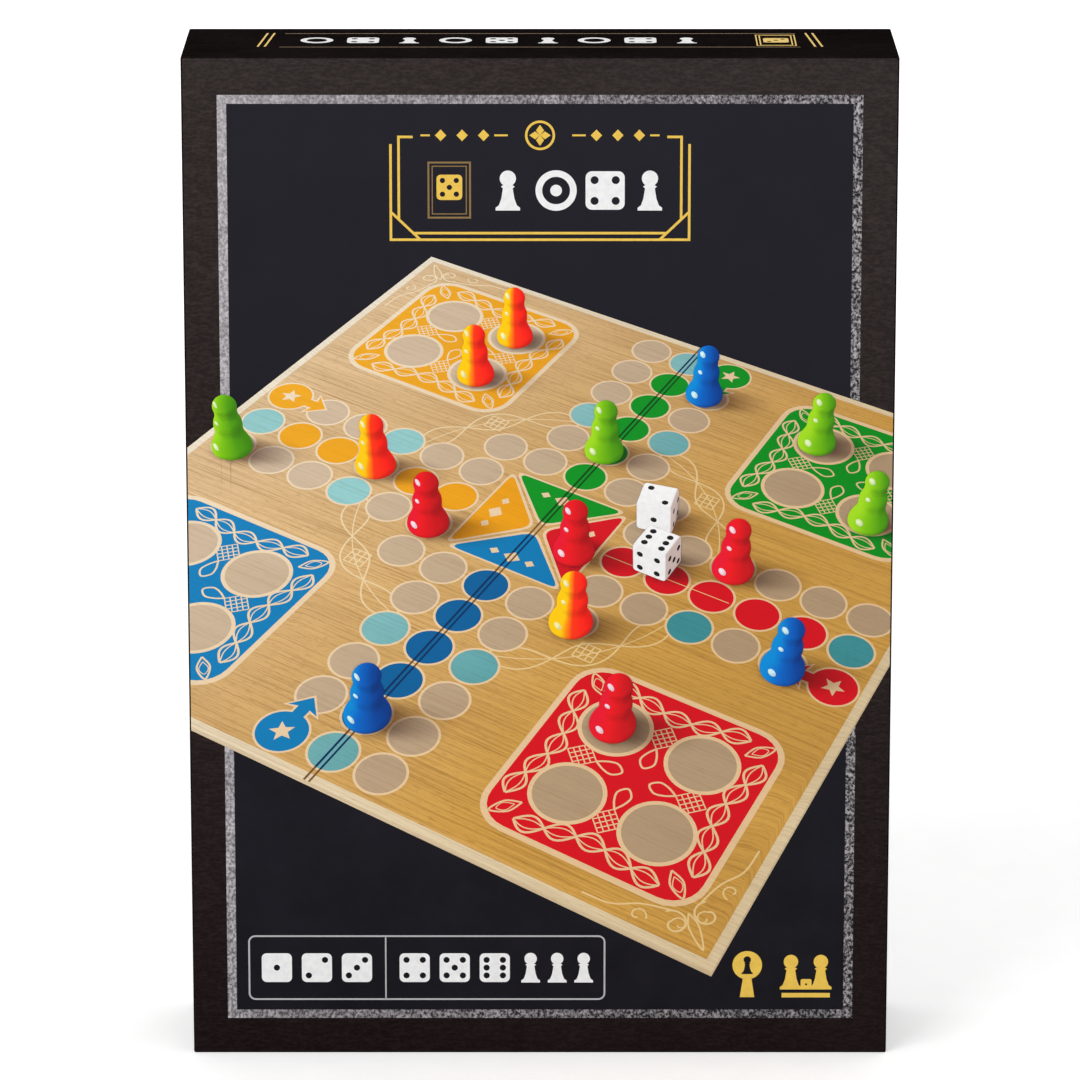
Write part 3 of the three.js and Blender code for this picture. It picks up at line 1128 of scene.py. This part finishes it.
def picture_points():
    """Extra points on the pictured board, close together in its shadows."""
    grid = range(1, int(BOARD / OPEN_PITCH))
    points = [(column * OPEN_PITCH, row * OPEN_PITCH) for row in grid for column in grid]
    across_way = Vector((-SHADOW_WAY.y, SHADOW_WAY.x))
    places = [place for _, place in PAWN_PLACES] + [place for place, _, _ in PICTURED_DICE]
    for place in places:
        for row in SHADOW_ROWS:
            for column in SHADOW_COLUMNS:
                point = Vector(place) + SHADOW_WAY * column * SHADOW_PITCH
                point += across_way * row * SHADOW_PITCH
                if 1 < point.x < BOARD - 1 and 1 < point.y < BOARD - 1:
                    points.append(tuple(point))
    return points


# Small signs, and the print of the box's faces

PAWN_ICON = ((0.3, 0.0), (0.3, 0.07), (0.22, 0.13), (0.16, 0.3), (0.12, 0.55), (0.17, 0.6),
             (0.1, 0.64))


def pawn_icon(art, foot, height, ink):
    """A small flat pawn: foot, waisted body, collar and head."""
    x, z = foot
    art.paint([(x + side * px * height, z + pz * height)
               for side in (1, -1) for px, pz in PAWN_ICON[::side]], ink)
    art.paint(circle((x, z + 0.8 * height), 0.2 * height, 20), ink)


def die_icon(art, low, size, ink, pip_ink, count):
    x, z = low
    art.paint(rounded_box(low, (x + size, z + size), size * 0.16, 4), ink)
    for across, up in PIPS[count]:
        centre = (x + size / 2 + across * size * 0.27, z + size / 2 + up * size * 0.27)
        art.paint(circle(centre, size * 0.105, 14), pip_ink)


def ring_icon(art, centre, inks, *discs):
    """Discs one on the other, each as its radius and steps, in two inks by turns."""
    for index, (radius, steps) in enumerate(discs):
        art.paint(circle(centre, radius, steps), inks[index % 2])


def sign_row(art, middle, pitch, count, ink, pip_ink, die_z, pawn_z, first_count):
    """Small pawns and dice by turns, about the middle."""
    for column in range(count):
        x = middle + (column - (count - 1) / 2) * pitch
        if column % 2:
            die_icon(art, (x - 5, die_z), 10, ink, pip_ink, column + first_count)
        else:
            pawn_icon(art, (x, pawn_z), 12, ink)


def line_cross(art, centre, ink, pitch, spot, dot, yard_box, yard_spots, fine, bold):
    """A plain ludo cross in lines. spot, dot and the yards' spots are a radius and steps."""
    low, high, corner = yard_box
    places, *yard_spot = yard_spots
    for quarter in range(4):
        def turn(point, quarter=quarter):
            return turned(point, quarter, centre)

        for row in range(2, 8):
            for column in (-1, 0, 1):
                at = turn((column * pitch, row * pitch))
                art.line(circle(at, *spot), fine, ink, True)
                if column == 0 and row < 7:
                    art.paint(circle(at, *dot), ink)
        box = rounded_box((low, low), (high, high), corner)
        art.line([turn(p) for p in box], bold, ink, True)
        for x in places:
            for z in places:
                art.line(circle(turn((x, z)), *yard_spot), fine, ink, True)


def title_art(art):
    """The gold frame under the top edge, with a framed icon and a row of white signs."""
    line, row_z = 0.95, 359.4
    art.line([(-55.7, 356.1), (-55.7, 319.8), (55.7, 319.8), (55.7, 356.1)], line, "gold")
    art.line([(-47.0, 322.3), (47.0, 322.3)], line, "gold")
    for side in (-1, 1):
        art.line([(side * 47.4, 358.8), (side * 52.7, 358.8), (side * 52.7, 327.6)],
                 line, "gold")
        art.line([(side * 55.4, 330.1), (side * 44.7, 319.8)], line, "gold")
        for near, far in ((12.0, 17.0), (41.0, 44.5)):
            art.line([(side * near, row_z), (side * far, row_z)], 0.7, "gold")
        for x in (21, 29, 37):
            art.paint(diamond(side * x, row_z, 2.1, 2.2), "gold")
    ring_icon(art, (0, row_z), ("gold", "ground"), (5.6, 40), (4.7, 40))
    for quarter in range(4):
        petal = [(0, 0), (1.5, 1.8), (0, 4.0), (-1.5, 1.8)]
        art.paint([turned(p, quarter, (0, row_z)) for p in petal], "gold")
    for low, high, width in (((-41.6, 328.2), (-26.1, 349.1), 0.7),
                             ((-40.2, 329.6), (-27.5, 347.7), 0.4)):
        art.line(plain_box(low, high), width, "dull_gold", True)
    die_icon(art, (-38.6, 334.9), 9.6, "gold", "ground", 5)
    ring_icon(art, (6.0, 338.5), ("white", "ground"), (7.7, 40), (5.2, 40), (2.2, 28))
    die_icon(art, (17.0, 331.2), 14.6, "white", "ground", 4)
    for x in (-12.0, 41.0):
        pawn_icon(art, (x, 330.9), 15.2, "white")


def foot_art(art):
    """The outlined box at the foot, the round sign and the two small pawns."""
    art.line(rounded_box((-111.8, 21.7), (24.8, 47.1), 2.4), 0.65, "grey", True)
    art.line([(-59.3, 22.2), (-59.3, 46.6)], 0.55, "grey")
    for column in range(3):
        for start, first in ((-107.0, 1), (-54.0, 4)):
            low = (start + column * 15.4, 28.6)
            die_icon(art, low, 11.6, "white", "ground", first + column)
        pawn_icon(art, (-3.6 + column * 10.2, 28.4), 12.0, "white")
    art.paint(circle((79.7, 35.4), 5.7, 36), "gold")
    art.paint([(76.9, 22.5), (82.5, 22.5), (81.2, 31.0), (78.2, 31.0)], "gold")
    pawn_icon(art, (79.7, 31.8), 7.2, "ground")
    for x in (96.5, 108.0):
        pawn_icon(art, (x, 25.6), 14.0, "gold")
    art.paint(plain_box((93.0, 22.4), (111.6, 24.2)), "gold")
    die_icon(art, (100.3, 25.6), 4.2, "gold", "ground", 1)


def cover_art(low, high):
    """The cover: border, silver band, dark ground, signs and the picture of the board."""
    art = Art(rounded_box(low, high, CORNER_RADIUS, 3), "border")
    art.paint(plain_box((-120.2, 14.1), (120.2, 374.65)), "silver")
    art.paint(plain_box((-116.7, 17.5), (116.7, 371.3)), "ground")
    title_art(art)
    foot_art(art)
    ends = ((0, BOARD), (BOARD, BOARD), (BOARD, 0))
    under = [PICTURE.project(u, v, -PICTURED_EDGE)[:2] for u, v in ends]
    art.paint(under + [PICTURE.place(p) for p in reversed(ends)], "side")
    art.place = PICTURE.place
    board_art(art)
    art.paint(plain_box((MIDDLE + 33, MIDDLE - 0.2), (MIDDLE + 92, MIDDLE + 0.2)),
              {"red": "thin_line"})
    for left, right in PICTURED_CREASES:
        art.paint(plain_box((MIDDLE + left, 0), (MIDDLE + right, BOARD)), FOLD_SHADES)
    art.points = [
        p for p in map(PICTURE.place, picture_points())
        if low[0] + 0.3 < p[0] < high[0] - 0.3 and low[1] + 0.3 < p[1] < high[1] - 0.3]
    return art


def back_art(low, high):
    """The back: the cover's bands, and a plain ludo cross in fine gold lines."""
    centre = (0.0, 194.5)
    art = Art(rounded_box(low, high, CORNER_RADIUS, 3), "base")
    art.line(plain_box((-117.7, 16.4), (117.7, 372.6)), 0.9, "silver", True)
    art.line(plain_box((-114.0, 20.1), (114.0, 368.9)), 0.45, "gold", True)
    line_cross(art, centre, "gold", 13.4, (5.4, 28), (3.6, 24), (-94, -38, 8),
               ((-78, -54), 8.0, 32), 0.45, 0.6)
    for quarter in range(4):
        home = [(0, 2.6), (17.5, 18.6), (-17.5, 18.6)]
        art.line([turned(p, quarter, centre) for p in home], 0.6, "gold", True)
    for z in (331.0, 58.0):
        sign_row(art, 0.0, 18, 7, "gold", "base", z - 5, z - 6, 0)
    return art


def top_art():
    """The top skirt: gold strokes, a framed die and a row of white signs."""
    art = Art(plain_box((-131, -29), (131, 28)), None)
    for side in (-1, 1):
        for x in (101.8, 104.4):
            art.line([(side * (x + 1.3), -10), (side * (x - 1.3), 20)], 0.75, "gold")
    for x, y in ((97.5, -11), (96.5, 19)):
        art.line([(-x, y), (x, y)], 0.5, "dull_gold")
    for low, high in (((81.5, -8.0), (96.0, 16.0)), ((82.8, -6.7), (94.7, 14.7))):
        art.line(plain_box(low, high), 0.5, "gold", True)
    die_icon(art, (84.0, -0.8), 9.6, "gold", None, 3)
    for column in range(9):
        x = -84 + column * 17.4
        if column % 3 == 0:
            ring_icon(art, (x, 4), ("white", None), (6.2, 32), (3.9, 32))
        elif column % 3 == 1:
            die_icon(art, (x - 6, -2), 12, "white", None, 5 - column % 2)
        else:
            pawn_icon(art, (x, -2.4), 12.4, "white")
    return art


def side_art():
    """The long skirts: a double gold frame, chamfered ends and a column of white signs."""
    art = Art(plain_box((-28, 3), (26, 386)), None)
    for grow, width in ((0.0, 0.9), (2.4, 0.45)):
        left, right, foot, top = -19 + grow, 18 - grow, 31 + grow, 358 - grow
        frame_line = [(left, foot + 9), (left + 9, foot), (right - 9, foot), (right, foot + 9),
                      (right, top - 9), (right - 9, top), (left + 9, top), (left, top - 9)]
        art.line(frame_line, width, "gold", True)
    for row in range(9):
        z = 52 + row * 34.6
        if row % 3 == 0:
            pawn_icon(art, (-0.5, z - 6), 14, "white")
        elif row % 3 == 1:
            die_icon(art, (-6.5, z - 6), 12, "white", None, 1 + row % 5)
        else:
            ring_icon(art, (-0.5, z), ("white", None), (6.4, 32), (4.1, 32), (1.9, 20))
        if row < 8:
            for x in (-5.5, -0.5, 4.5):
                art.paint(diamond(x, z + 17.2, 1.5, 2.0), "gold")
    return art


def wrap_profile(depth):
    """From the panel's edge: round the fold, along the wall, over the rim, back inside."""
    steps = []
    for step in range(1, FOLD_STEPS + 1):
        angle = math.pi / 2 * step / FOLD_STEPS
        steps.append((FOLD_RADIUS * math.sin(angle), FOLD_RADIUS * (1 - math.cos(angle))))
    for turn, out in ((0.0, FOLD_RADIUS - RIM_RADIUS),
                      (math.pi / 2, FOLD_RADIUS - WALL + RIM_RADIUS)):
        steps += circle((out, depth - RIM_RADIUS), RIM_RADIUS, 3, turn, turn + math.pi / 2)
    inner = FOLD_RADIUS - WALL
    return steps + [
        (inner, depth - TURN_IN), (inner + PAPER, depth - TURN_IN),
        (inner + PAPER, depth - PAPER), (FOLD_RADIUS - PAPER, depth - PAPER),
        (FOLD_RADIUS - PAPER, PAPER)]


def make_wrap(body, way, art_of, edge_ink, field=None):
    """The paper of the lid or the base. way is the sign of Y behind its panel."""
    node = f"{body}_wrap"
    low, high = box_mm(node)
    art = art_of(*front_box(low, high, FOLD_RADIUS))
    printed_sheet(f"{body}_printed_wrap", art, CORNER_RADIUS, low.y if way > 0 else high.y,
                  way, wrap_profile(high.y - low.y), edge_ink, body, node, field)


def make_lid():
    def top(x, y, raised):
        return (x, y, LID_HIGH.z + raised - SUNK)

    make_wrap("lid", 1, cover_art, "skirt", pictured_field)
    plates("lid_top_print", top_art(), PLATE, top, "lid")
    for name, way in (("lid_left_print", -1), ("lid_right_print", 1)):
        def side(y, z, raised, way=way):
            return (way * (LID_HIGH.x + raised - SUNK), y, z)
        plates(name, side_art(), PLATE, side, "lid")


# Pawns and dice, as real pieces and as the cover pictures them

def pawn_outline(profile, head_share):
    """A pawn's half outline as (radius, height): a foot, smooth tiers and a ball."""
    body = [(r * PAWN_RADIUS, h * PAWN_HEIGHT) for r, h in profile]
    head = head_share * PAWN_RADIUS
    start = -math.acos(body[-1][0] / head)
    ball = circle((0, PAWN_HEIGHT - head), head, 12, start, math.pi / 2)
    return body[:2] + smooth_path(body[2:], 4) + ball[:-1] + [(0, PAWN_HEIGHT)]


def lathe(outline, segments):
    """A closed turned form about Z."""
    bm = bmesh.new()
    rings = []
    for radius, height in outline:
        places = circle((0, 0), radius, segments) if radius > 1e-6 else [(0, 0)]
        rings.append([bm.verts.new((x, y, height)) for x, y in places])
    for lower, upper in zip(rings, rings[1:]):
        for index in range(segments):
            around = ((lower, index), (lower, index + 1), (upper, index + 1), (upper, index))
            corners = [ring[at % len(ring)] for ring, at in around]
            bm.faces.new(list(dict.fromkeys(corners)))
    bmesh.ops.recalc_face_normals(bm, faces=bm.faces)
    return bm


def die_form(steps):
    """A cube with rounded edges about its middle."""
    bm = bmesh.new()
    bmesh.ops.create_cube(bm, size=DIE)
    bmesh.ops.bevel(bm, geom=bm.edges[:], offset=DIE_EDGE, segments=steps, profile=0.5,
                    affect="EDGES")
    return bm


def on_side(normal, points, height):
    """Points of a plane across the normal, height away from the middle."""
    first = Z if abs(normal.z) < 0.5 else X
    second = normal.cross(first)
    return [normal * height + first * a + second * b for a, b in points]


def pip_centres(count):
    return [(a * PIP_PITCH, b * PIP_PITCH) for a, b in PIPS[count]]


def flattened(name, bm, place, layer, inks, marks):
    """Lays a solid form down on the cover as its picture: closed and nearly flat.

    place(point) takes the form's own mm to the board's (u, v, height). marks are rings on
    the form, each with its normal, and those that face the camera get the second ink.
    """
    origin = PICTURE.project(*place(Z * PAWN_HEIGHT / 3))[2]
    level = LID_LOW.y - PICTURE_LIFT - LAYER_LIFT * layer
    zero = Vector(place(Vector((0, 0, 0))))
    bm.normal_update()
    form = bm.verts.layers.float_vector.new("form")

    def to_cover(point, raise_by=0.0):
        x, z, away = PICTURE.project(*place(point))
        return Vector((x, level + (away - origin) * DISTANCE_LIFT - raise_by, z)) * MM

    for vert in bm.verts:
        vert[form] = PICTURE.facing(Vector(place(vert.normal)) - zero)
        vert.co = to_cover(vert.co)
    for outline, normal in marks:
        direction = PICTURE.facing(Vector(place(normal)) - zero)
        if direction.z > MARK_FACING:
            continue
        front, back = ([bm.verts.new(to_cover(point, raise_by)) for point in outline]
                       for raise_by in (MARK_LIFT, 0.0))
        for vert in front + back:
            vert[form] = direction
        bridge(bm, front, back, 1)
        for ring in (front, list(reversed(back))):
            bm.faces.new(ring).material_index = 1
    new_piece(name, to_mesh(bm, name, 180), [INKS[ink] for ink in inks], "lid")


def pawn_glints():
    """The highlights on the lit side of a pictured pawn, as rings with their normals."""
    def outward(angle):
        return Vector((*polar(1, angle), 0))

    front = min((math.tau * step / 72 for step in range(72)),
                key=lambda angle: PICTURE.facing(outward(angle)).z)
    way = 1 if PICTURE.facing(outward(front + 1)).x < 0 else -1
    rings = []
    for radius, height, degrees, wide, tall in PAWN_GLINTS:
        out = outward(front + way * math.radians(degrees))
        middle = out * radius + Z * height
        side = Z.cross(out)
        rings.append(([middle + side * a * wide + Z * b * tall
                       for a, b in circle((0, 0), 1, 16)], out))
    return rings


def make_pictured_things():
    outline = pawn_outline(PICTURED_PROFILE, PICTURED_HEAD)
    glints = pawn_glints()
    for index, (ink, at) in enumerate(PAWN_PLACES):
        lean = SHADOW_WAY * (0.05 + 0.08 * clamped((at[1] - 150) / 140, 0, 1))

        def standing(point, at=at, lean=lean):
            x, y, height = point
            return (at[0] + x + lean.x * height, at[1] + y + lean.y * height, height)
        flattened(f"print_{ink}_{index + 1}", lathe(outline, 48), standing,
                  (at[0] + at[1]) / 420.0, (ink, ink.replace("pawn", "glint")), glints)
    for index, (at, degrees, (top, left, right)) in enumerate(PICTURED_DICE):
        turn = Matrix.Rotation(math.radians(degrees), 3, "Z")
        middle = Vector((*at, DIE / 2))
        marks = []
        for count, normal in ((top, Z), (left, Y), (7 - left, -Y), (right, X), (7 - right, -X)):
            for centre in pip_centres(count):
                ring = circle(centre, PIP_RADIUS * 0.94, 18)
                marks.append((on_side(normal, ring, DIE / 2), normal))
        flattened(f"print_die_{index + 1}", die_form(4),
                  lambda point, turn=turn, middle=middle: middle + turn @ point,
                  0.9 + index, ("die", "pip"), marks)


def make_pawns():
    finishes = {
        "red": srgb(214, 18, 26),
        "yellow": srgb(250, 126, 10),
        "green": srgb(116, 192, 14),
        "blue": srgb(8, 96, 190),
    }
    outline = pawn_outline(PAWN_PROFILE, PAWN_HEAD)
    for colour, value in finishes.items():
        finish = moulded_plastic(f"pawn_{colour}_plastic", value)
        for number in range(1, 5):
            node = f"pawn_{colour}_{number}"
            low, high = box_mm(node)
            bm = lathe(outline, 56)
            shift = Vector(((low.x + high.x) / 2, (low.y + high.y) / 2, low.z))
            for vert in bm.verts:
                vert.co = (vert.co + shift) * MM
            mesh = to_mesh(bm, f"{node}_moulded", 40)
            new_piece(f"{node}_moulded", mesh, [finish], f"{colour}_{number}",
                      (node,))


def make_dice():
    """Each die is cut by shallow balls, whose paint stays in the pips."""
    white = moulded_plastic("die_white_plastic", srgb(240, 238, 232), 0.2, 0.94)
    dark = moulded_plastic("die_pip_paint", srgb(26, 26, 28), 0.4, 0.8)
    reach = (PIP_RADIUS ** 2 + PIP_DEPTH ** 2) / (2 * PIP_DEPTH)
    dice = (("first_die", math.pi / 2, "X"), ("second_die", 3 * math.pi / 2, "Y"))
    for index, (body, angle, axis) in enumerate(dice):
        node = f"die_{index + 1}"
        name = f"{node}_moulded"
        low, high = box_mm(node)
        form = new_piece(name, to_mesh(die_form(6), name), [white, dark], None)
        balls = bmesh.new()
        for count, normal in DIE_SIDES.items():
            for centre in on_side(normal, pip_centres(count), DIE / 2 + reach - PIP_DEPTH):
                bmesh.ops.create_uvsphere(balls, u_segments=24, v_segments=16, radius=reach,
                                          matrix=Matrix.Translation(centre))
        cutter = new_piece("pip_cutter", to_mesh(balls, "pip_cutter"), [dark], None)
        hollow = form.modifiers.new("pips", "BOOLEAN")
        hollow.operation = "DIFFERENCE"
        hollow.solver = "EXACT"
        hollow.material_mode = "TRANSFER"
        hollow.object = cutter
        mesh = applied(form)
        bpy.data.objects.remove(cutter)
        bm = bmesh.new()
        bm.from_mesh(mesh)
        bmesh.ops.remove_doubles(bm, verts=bm.verts, dist=0.005)
        bm.to_mesh(mesh)
        bm.free()
        mesh.transform(Matrix.Rotation(angle, 4, axis))
        mesh.transform(Matrix.Translation((low + high) / 2))
        mesh.transform(Matrix.Scale(MM, 4))
        smooth(mesh, 30)
        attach(form, body)
        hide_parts(node)


# The pieces inside the box

def make_tray():
    """One formed sheet: a deck with rounded, drafted wells and a skirt round it."""
    tray_low, tray_high = box_mm("piece_tray")
    low, high = front_box(tray_low, tray_high, DECK_FILLET)
    art = Art(rounded_box(low, high, TRAY_CORNER, 5), "tray")
    rib = (tray_high.z - tray_low.z - WELLS * WELL_HEIGHT) / (WELLS + 1)
    centre_x = (tray_low.x + tray_high.x) / 2
    opening = DECK_FILLET + WELL_DRAFT
    wells = []
    for index in range(WELLS):
        foot = tray_low.z + rib + index * (WELL_HEIGHT + rib)
        wells.append(((centre_x - WELL_WIDTH / 2 - opening, foot - opening),
                      (centre_x + WELL_WIDTH / 2 + opening, foot + WELL_HEIGHT + opening)))
        art.paint(rounded_box(*wells[-1], WELL_CORNER + opening, 8), None)
    for below, above in zip(wells, wells[1:]):
        art.points += [(centre_x + side * 30, (below[1][1] + above[0][1]) / 2)
                       for side in (-1, 1)]
    quarter = [math.pi / 2 * step / 4 for step in range(1, 5)]
    around = [(DECK_FILLET * math.sin(a), DECK_FILLET * (1 - math.cos(a))) for a in quarter]
    skirt = around + [(DECK_FILLET, tray_high.y - tray_low.y)]
    bottom = WELL_DEPTH - FLOOR_FILLET
    wall = [(-out, back) for out, back in around] + [(-opening, bottom)]
    wall += [(-opening - FLOOR_FILLET * (1 - math.cos(a)), bottom + FLOOR_FILLET * math.sin(a))
             for a in quarter]
    bm = bmesh.new()
    art_mesh(bm, art)
    depth = {}
    for rim in rim_loops(bm):
        heights = [vert.co.y for vert in rim]
        if max(heights) - min(heights) > 2 * WELL_HEIGHT:
            sweep(bm, rim, low, high, TRAY_CORNER, skirt, depth)
            continue
        middle = (max(heights) + min(heights)) / 2
        well = min(wells, key=lambda well: abs((well[0][1] + well[1][1]) / 2 - middle))
        bm.faces.new(sweep(bm, rim, *well, WELL_CORNER + opening, wall, depth))
    for vert in bm.verts:
        vert.co = Vector((vert.co.x, tray_low.y + depth.get(vert, 0.0), vert.co.y)) * MM
    mesh = to_mesh(bm, "tray_formed")
    if min(mesh.polygons, key=lambda poly: poly.center.y).normal.y > 0:
        mesh.flip_normals()
    smooth(mesh, 50)
    tray = new_piece("tray_formed", mesh, [INKS["tray"]], "base",
                     ("piece_tray",))
    thick = tray.modifiers.new("sheet", "SOLIDIFY")
    thick.thickness = TRAY_SHEET * MM
    thick.offset = -1
    thick.use_even_offset = False
    applied(tray)


def board_half(half, face_y, way, mirrored):
    """One half's printed label. A mirrored one lies folded over the other, face to face."""
    low, high = front_box(BACK_FACE_LOW, BACK_FACE_HIGH)
    mirror = 2 * FOLD_X - low[0]
    art = Art(rounded_box(low, high, FACE_CORNER, 3), "wood")

    def place(point):
        u, v = point
        return (mirror - u if mirrored else u + low[0], BOARD - v + low[1])

    def field(x, z):
        u = mirror - x if mirrored else x - low[0]
        return (u, BOARD - (z - low[1]), 1.0, 0.0)

    art.place = place
    board_art(art)
    thickness = BACK_FACE_HIGH.y - BACK_FACE_LOW.y
    printed_sheet(f"{half}_label", art, FACE_CORNER, face_y, way, ((0.0, thickness),), "side",
                  half, f"{half}_face", field)


def make_board():
    board_half("board_back", BACK_FACE_LOW.y, 1, False)
    board_half("board_front", FRONT_FACE_HIGH.y, -1, True)
    axis_y = (BACK_FACE_LOW.y + FRONT_FACE_HIGH.y) / 2
    levels = 9
    height = BACK_FACE_HIGH.z - BACK_FACE_LOW.z
    bend = circle((FOLD_X, axis_y), CLOTH_REACH, 12, math.pi / 2, -math.pi / 2)
    line = [(BACK_FACE_HIGH.x - 0.1, axis_y + CLOTH_REACH), *bend,
            (BACK_FACE_HIGH.x - 0.1, axis_y - CLOTH_REACH)]
    mesh = extruded("board_fold_cloth", thickened(line, CLOTH_HALF),
                    [BACK_FACE_LOW.z + height * level / levels for level in range(levels + 1)],
                    50)
    cloth = leatherette("board_fold_cloth_finish", srgb(92, 66, 40))
    strip = new_piece("board_fold_cloth", mesh, [cloth], None)
    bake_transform(strip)
    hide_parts("board_hinge_strip")


def make_leaflet():
    """Three folded sheets, one in the other, with a drawn plan of the cross on the front."""
    low, high = box_mm("rules_leaflet")
    paper = fibre_board("leaflet_page", srgb(236, 233, 222), srgb(206, 200, 186))
    depth = high.y - low.y
    middle = (low.y + high.y) / 2
    for leaf in range(LEAVES):
        name = f"leaflet_sheet_{leaf + 1}"
        reach = depth / 2 - LEAF / 2 - LEAF_INSET - leaf * (LEAF + LEAF_GAP)
        edge = high.x - LEAF_EDGE_STEP * (LEAVES - 1 - leaf)
        bend = circle((low.x + depth / 2, middle), reach, 10, -math.pi / 2, -3 * math.pi / 2)
        line = [(edge, middle - reach), *bend, (edge, middle + reach)]
        levels = (low.z, high.z - LEAF_TOP_STEP * leaf)
        mesh = extruded(name, thickened(line, LEAF / 2), levels, 40)
        new_piece(name, mesh, [paper], "leaflet",
                  () if leaf else ("rules_leaflet",))

    art = Art(plain_box((low.x + 2, low.z + 2), (high.x - 3, high.z - 2)), None)
    centre = ((low.x + high.x) / 2, low.z + 92)
    art.line(square(centre, 62), 0.7, "dark", True)
    line_cross(art, centre, "dark", 7.2, (2.9, 20), (1.8, 16), (-56, -22, 5),
               ((-47, -31), 4.6, 24), 0.35, 0.5)
    for z, width in ((184, 0.9), (187, 0.35)):
        art.line([(centre[0] - 62, z), (centre[0] + 62, z)], width, "dark")
    sign_row(art, centre[0], 17, 5, "dark", None, 192, 191.5, 1)

    def lift(x, z, raised):
        return (x, low.y - raised + LEAF_PLATE_BACK, z)

    plates("leaflet_print", art, LEAF_PLATE, lift, "leaflet")


def finish_cad_nodes():
    """The CAD nodes that keep their shape."""
    grey = fibre_board("greyboard", srgb(158, 153, 144), srgb(96, 92, 86))
    lining = fibre_board("lid_lining", srgb(196, 191, 181), srgb(150, 144, 134))
    card = fibre_board("platform_card", srgb(186, 158, 118), srgb(120, 96, 66))
    backing = leatherette("board_backing_paper", srgb(34, 31, 32))
    core = fibre_board("board_core", srgb(172, 160, 138), srgb(110, 98, 80))
    finishes = {
        "lid_carton": lining, "base_carton": grey, "insert_platform": card,
        "board_back_core": core, "board_front_core": core,
        "board_back_backing": backing, "board_front_backing": backing,
    }
    for node, finish in finishes.items():
        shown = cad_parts[node]
        if not shown.material_slots:
            shown.data.materials.append(finish)
        for slot in shown.material_slots:
            slot.material = finish


# Camera, light and floor

def make_camera():
    data = bpy.data.cameras.new("camera")
    data.sensor_width = SENSOR
    data.lens = FOCAL_PX / IMAGE_PX * SENSOR
    data.clip_end = CLIP_END
    camera = linked("camera", data)
    back = Vector((0, -math.cos(CAMERA_PITCH), math.sin(CAMERA_PITCH))) * CAMERA_DISTANCE
    camera.location = (Vector((0, 0, CAMERA_TARGET_Z)) + back) * MM
    camera.rotation_euler = (math.pi / 2 - CAMERA_PITCH, 0, 0)
    bpy.context.scene.camera = camera


def make_lamps():
    for name, (place, height, size, power) in LAMPS.items():
        data = bpy.data.lights.new(name, "AREA")
        data.shape = "RECTANGLE"
        data.size, data.size_y = size
        data.energy = power
        lamp = linked(name, data)
        lamp.location = place
        way = Z * height - Vector(place)
        lamp.rotation_euler = way.to_track_quat("-Z", "Y").to_euler()


def make_world():
    world = bpy.data.worlds.new("studio")
    world.use_nodes = True
    bpy.context.scene.world = world
    tree = Nodes(world.node_tree)
    background = tree.nodes["Background"]
    tree.connect(background, "Color", (1, 1, 1, 1))
    level = tree.band(tree.seen_background(), 0.0, 1.0, WORLD_LIGHT, 1.0)
    tree.connect(background, "Strength", level)


def make_floor():
    """Pale paper that glows only where the background is seen, more so farther out."""
    bm = bmesh.new()
    bmesh.ops.create_grid(bm, x_segments=24, y_segments=24, size=FLOOR_SIZE)
    mesh = bpy.data.meshes.new("floor")
    bm.to_mesh(mesh)
    bm.free()
    floor = linked("floor", mesh)
    shade = Shading("floor_paper")
    body = shade.clouds(srgb(243, 243, 243), srgb(247, 247, 247), (60.0, 3.0, 0.5), 0.3, 0.7)
    away = shade.put("VectorMath", {0: shade.place}, "Value", operation="LENGTH")
    glow = shade.times(shade.seen_background(), shade.band(away, 0.3, 1.6, 0.34, 0.7))
    mesh.materials.append(shade.finish(
        body, 0.9, Specular_IOR_Level=0.1, Emission_Color=(1.0, 1.0, 1.0, 1.0),
        Emission_Strength=glow))


make_camera()
make_world()
make_floor()
make_lamps()
bpy.context.scene.view_settings.view_transform = "Standard"
make_lid()
make_pictured_things()
make_wrap("base", -1, back_art, "base")
make_tray()
make_pawns()
make_dice()
make_board()
make_leaflet()
finish_cad_nodes()
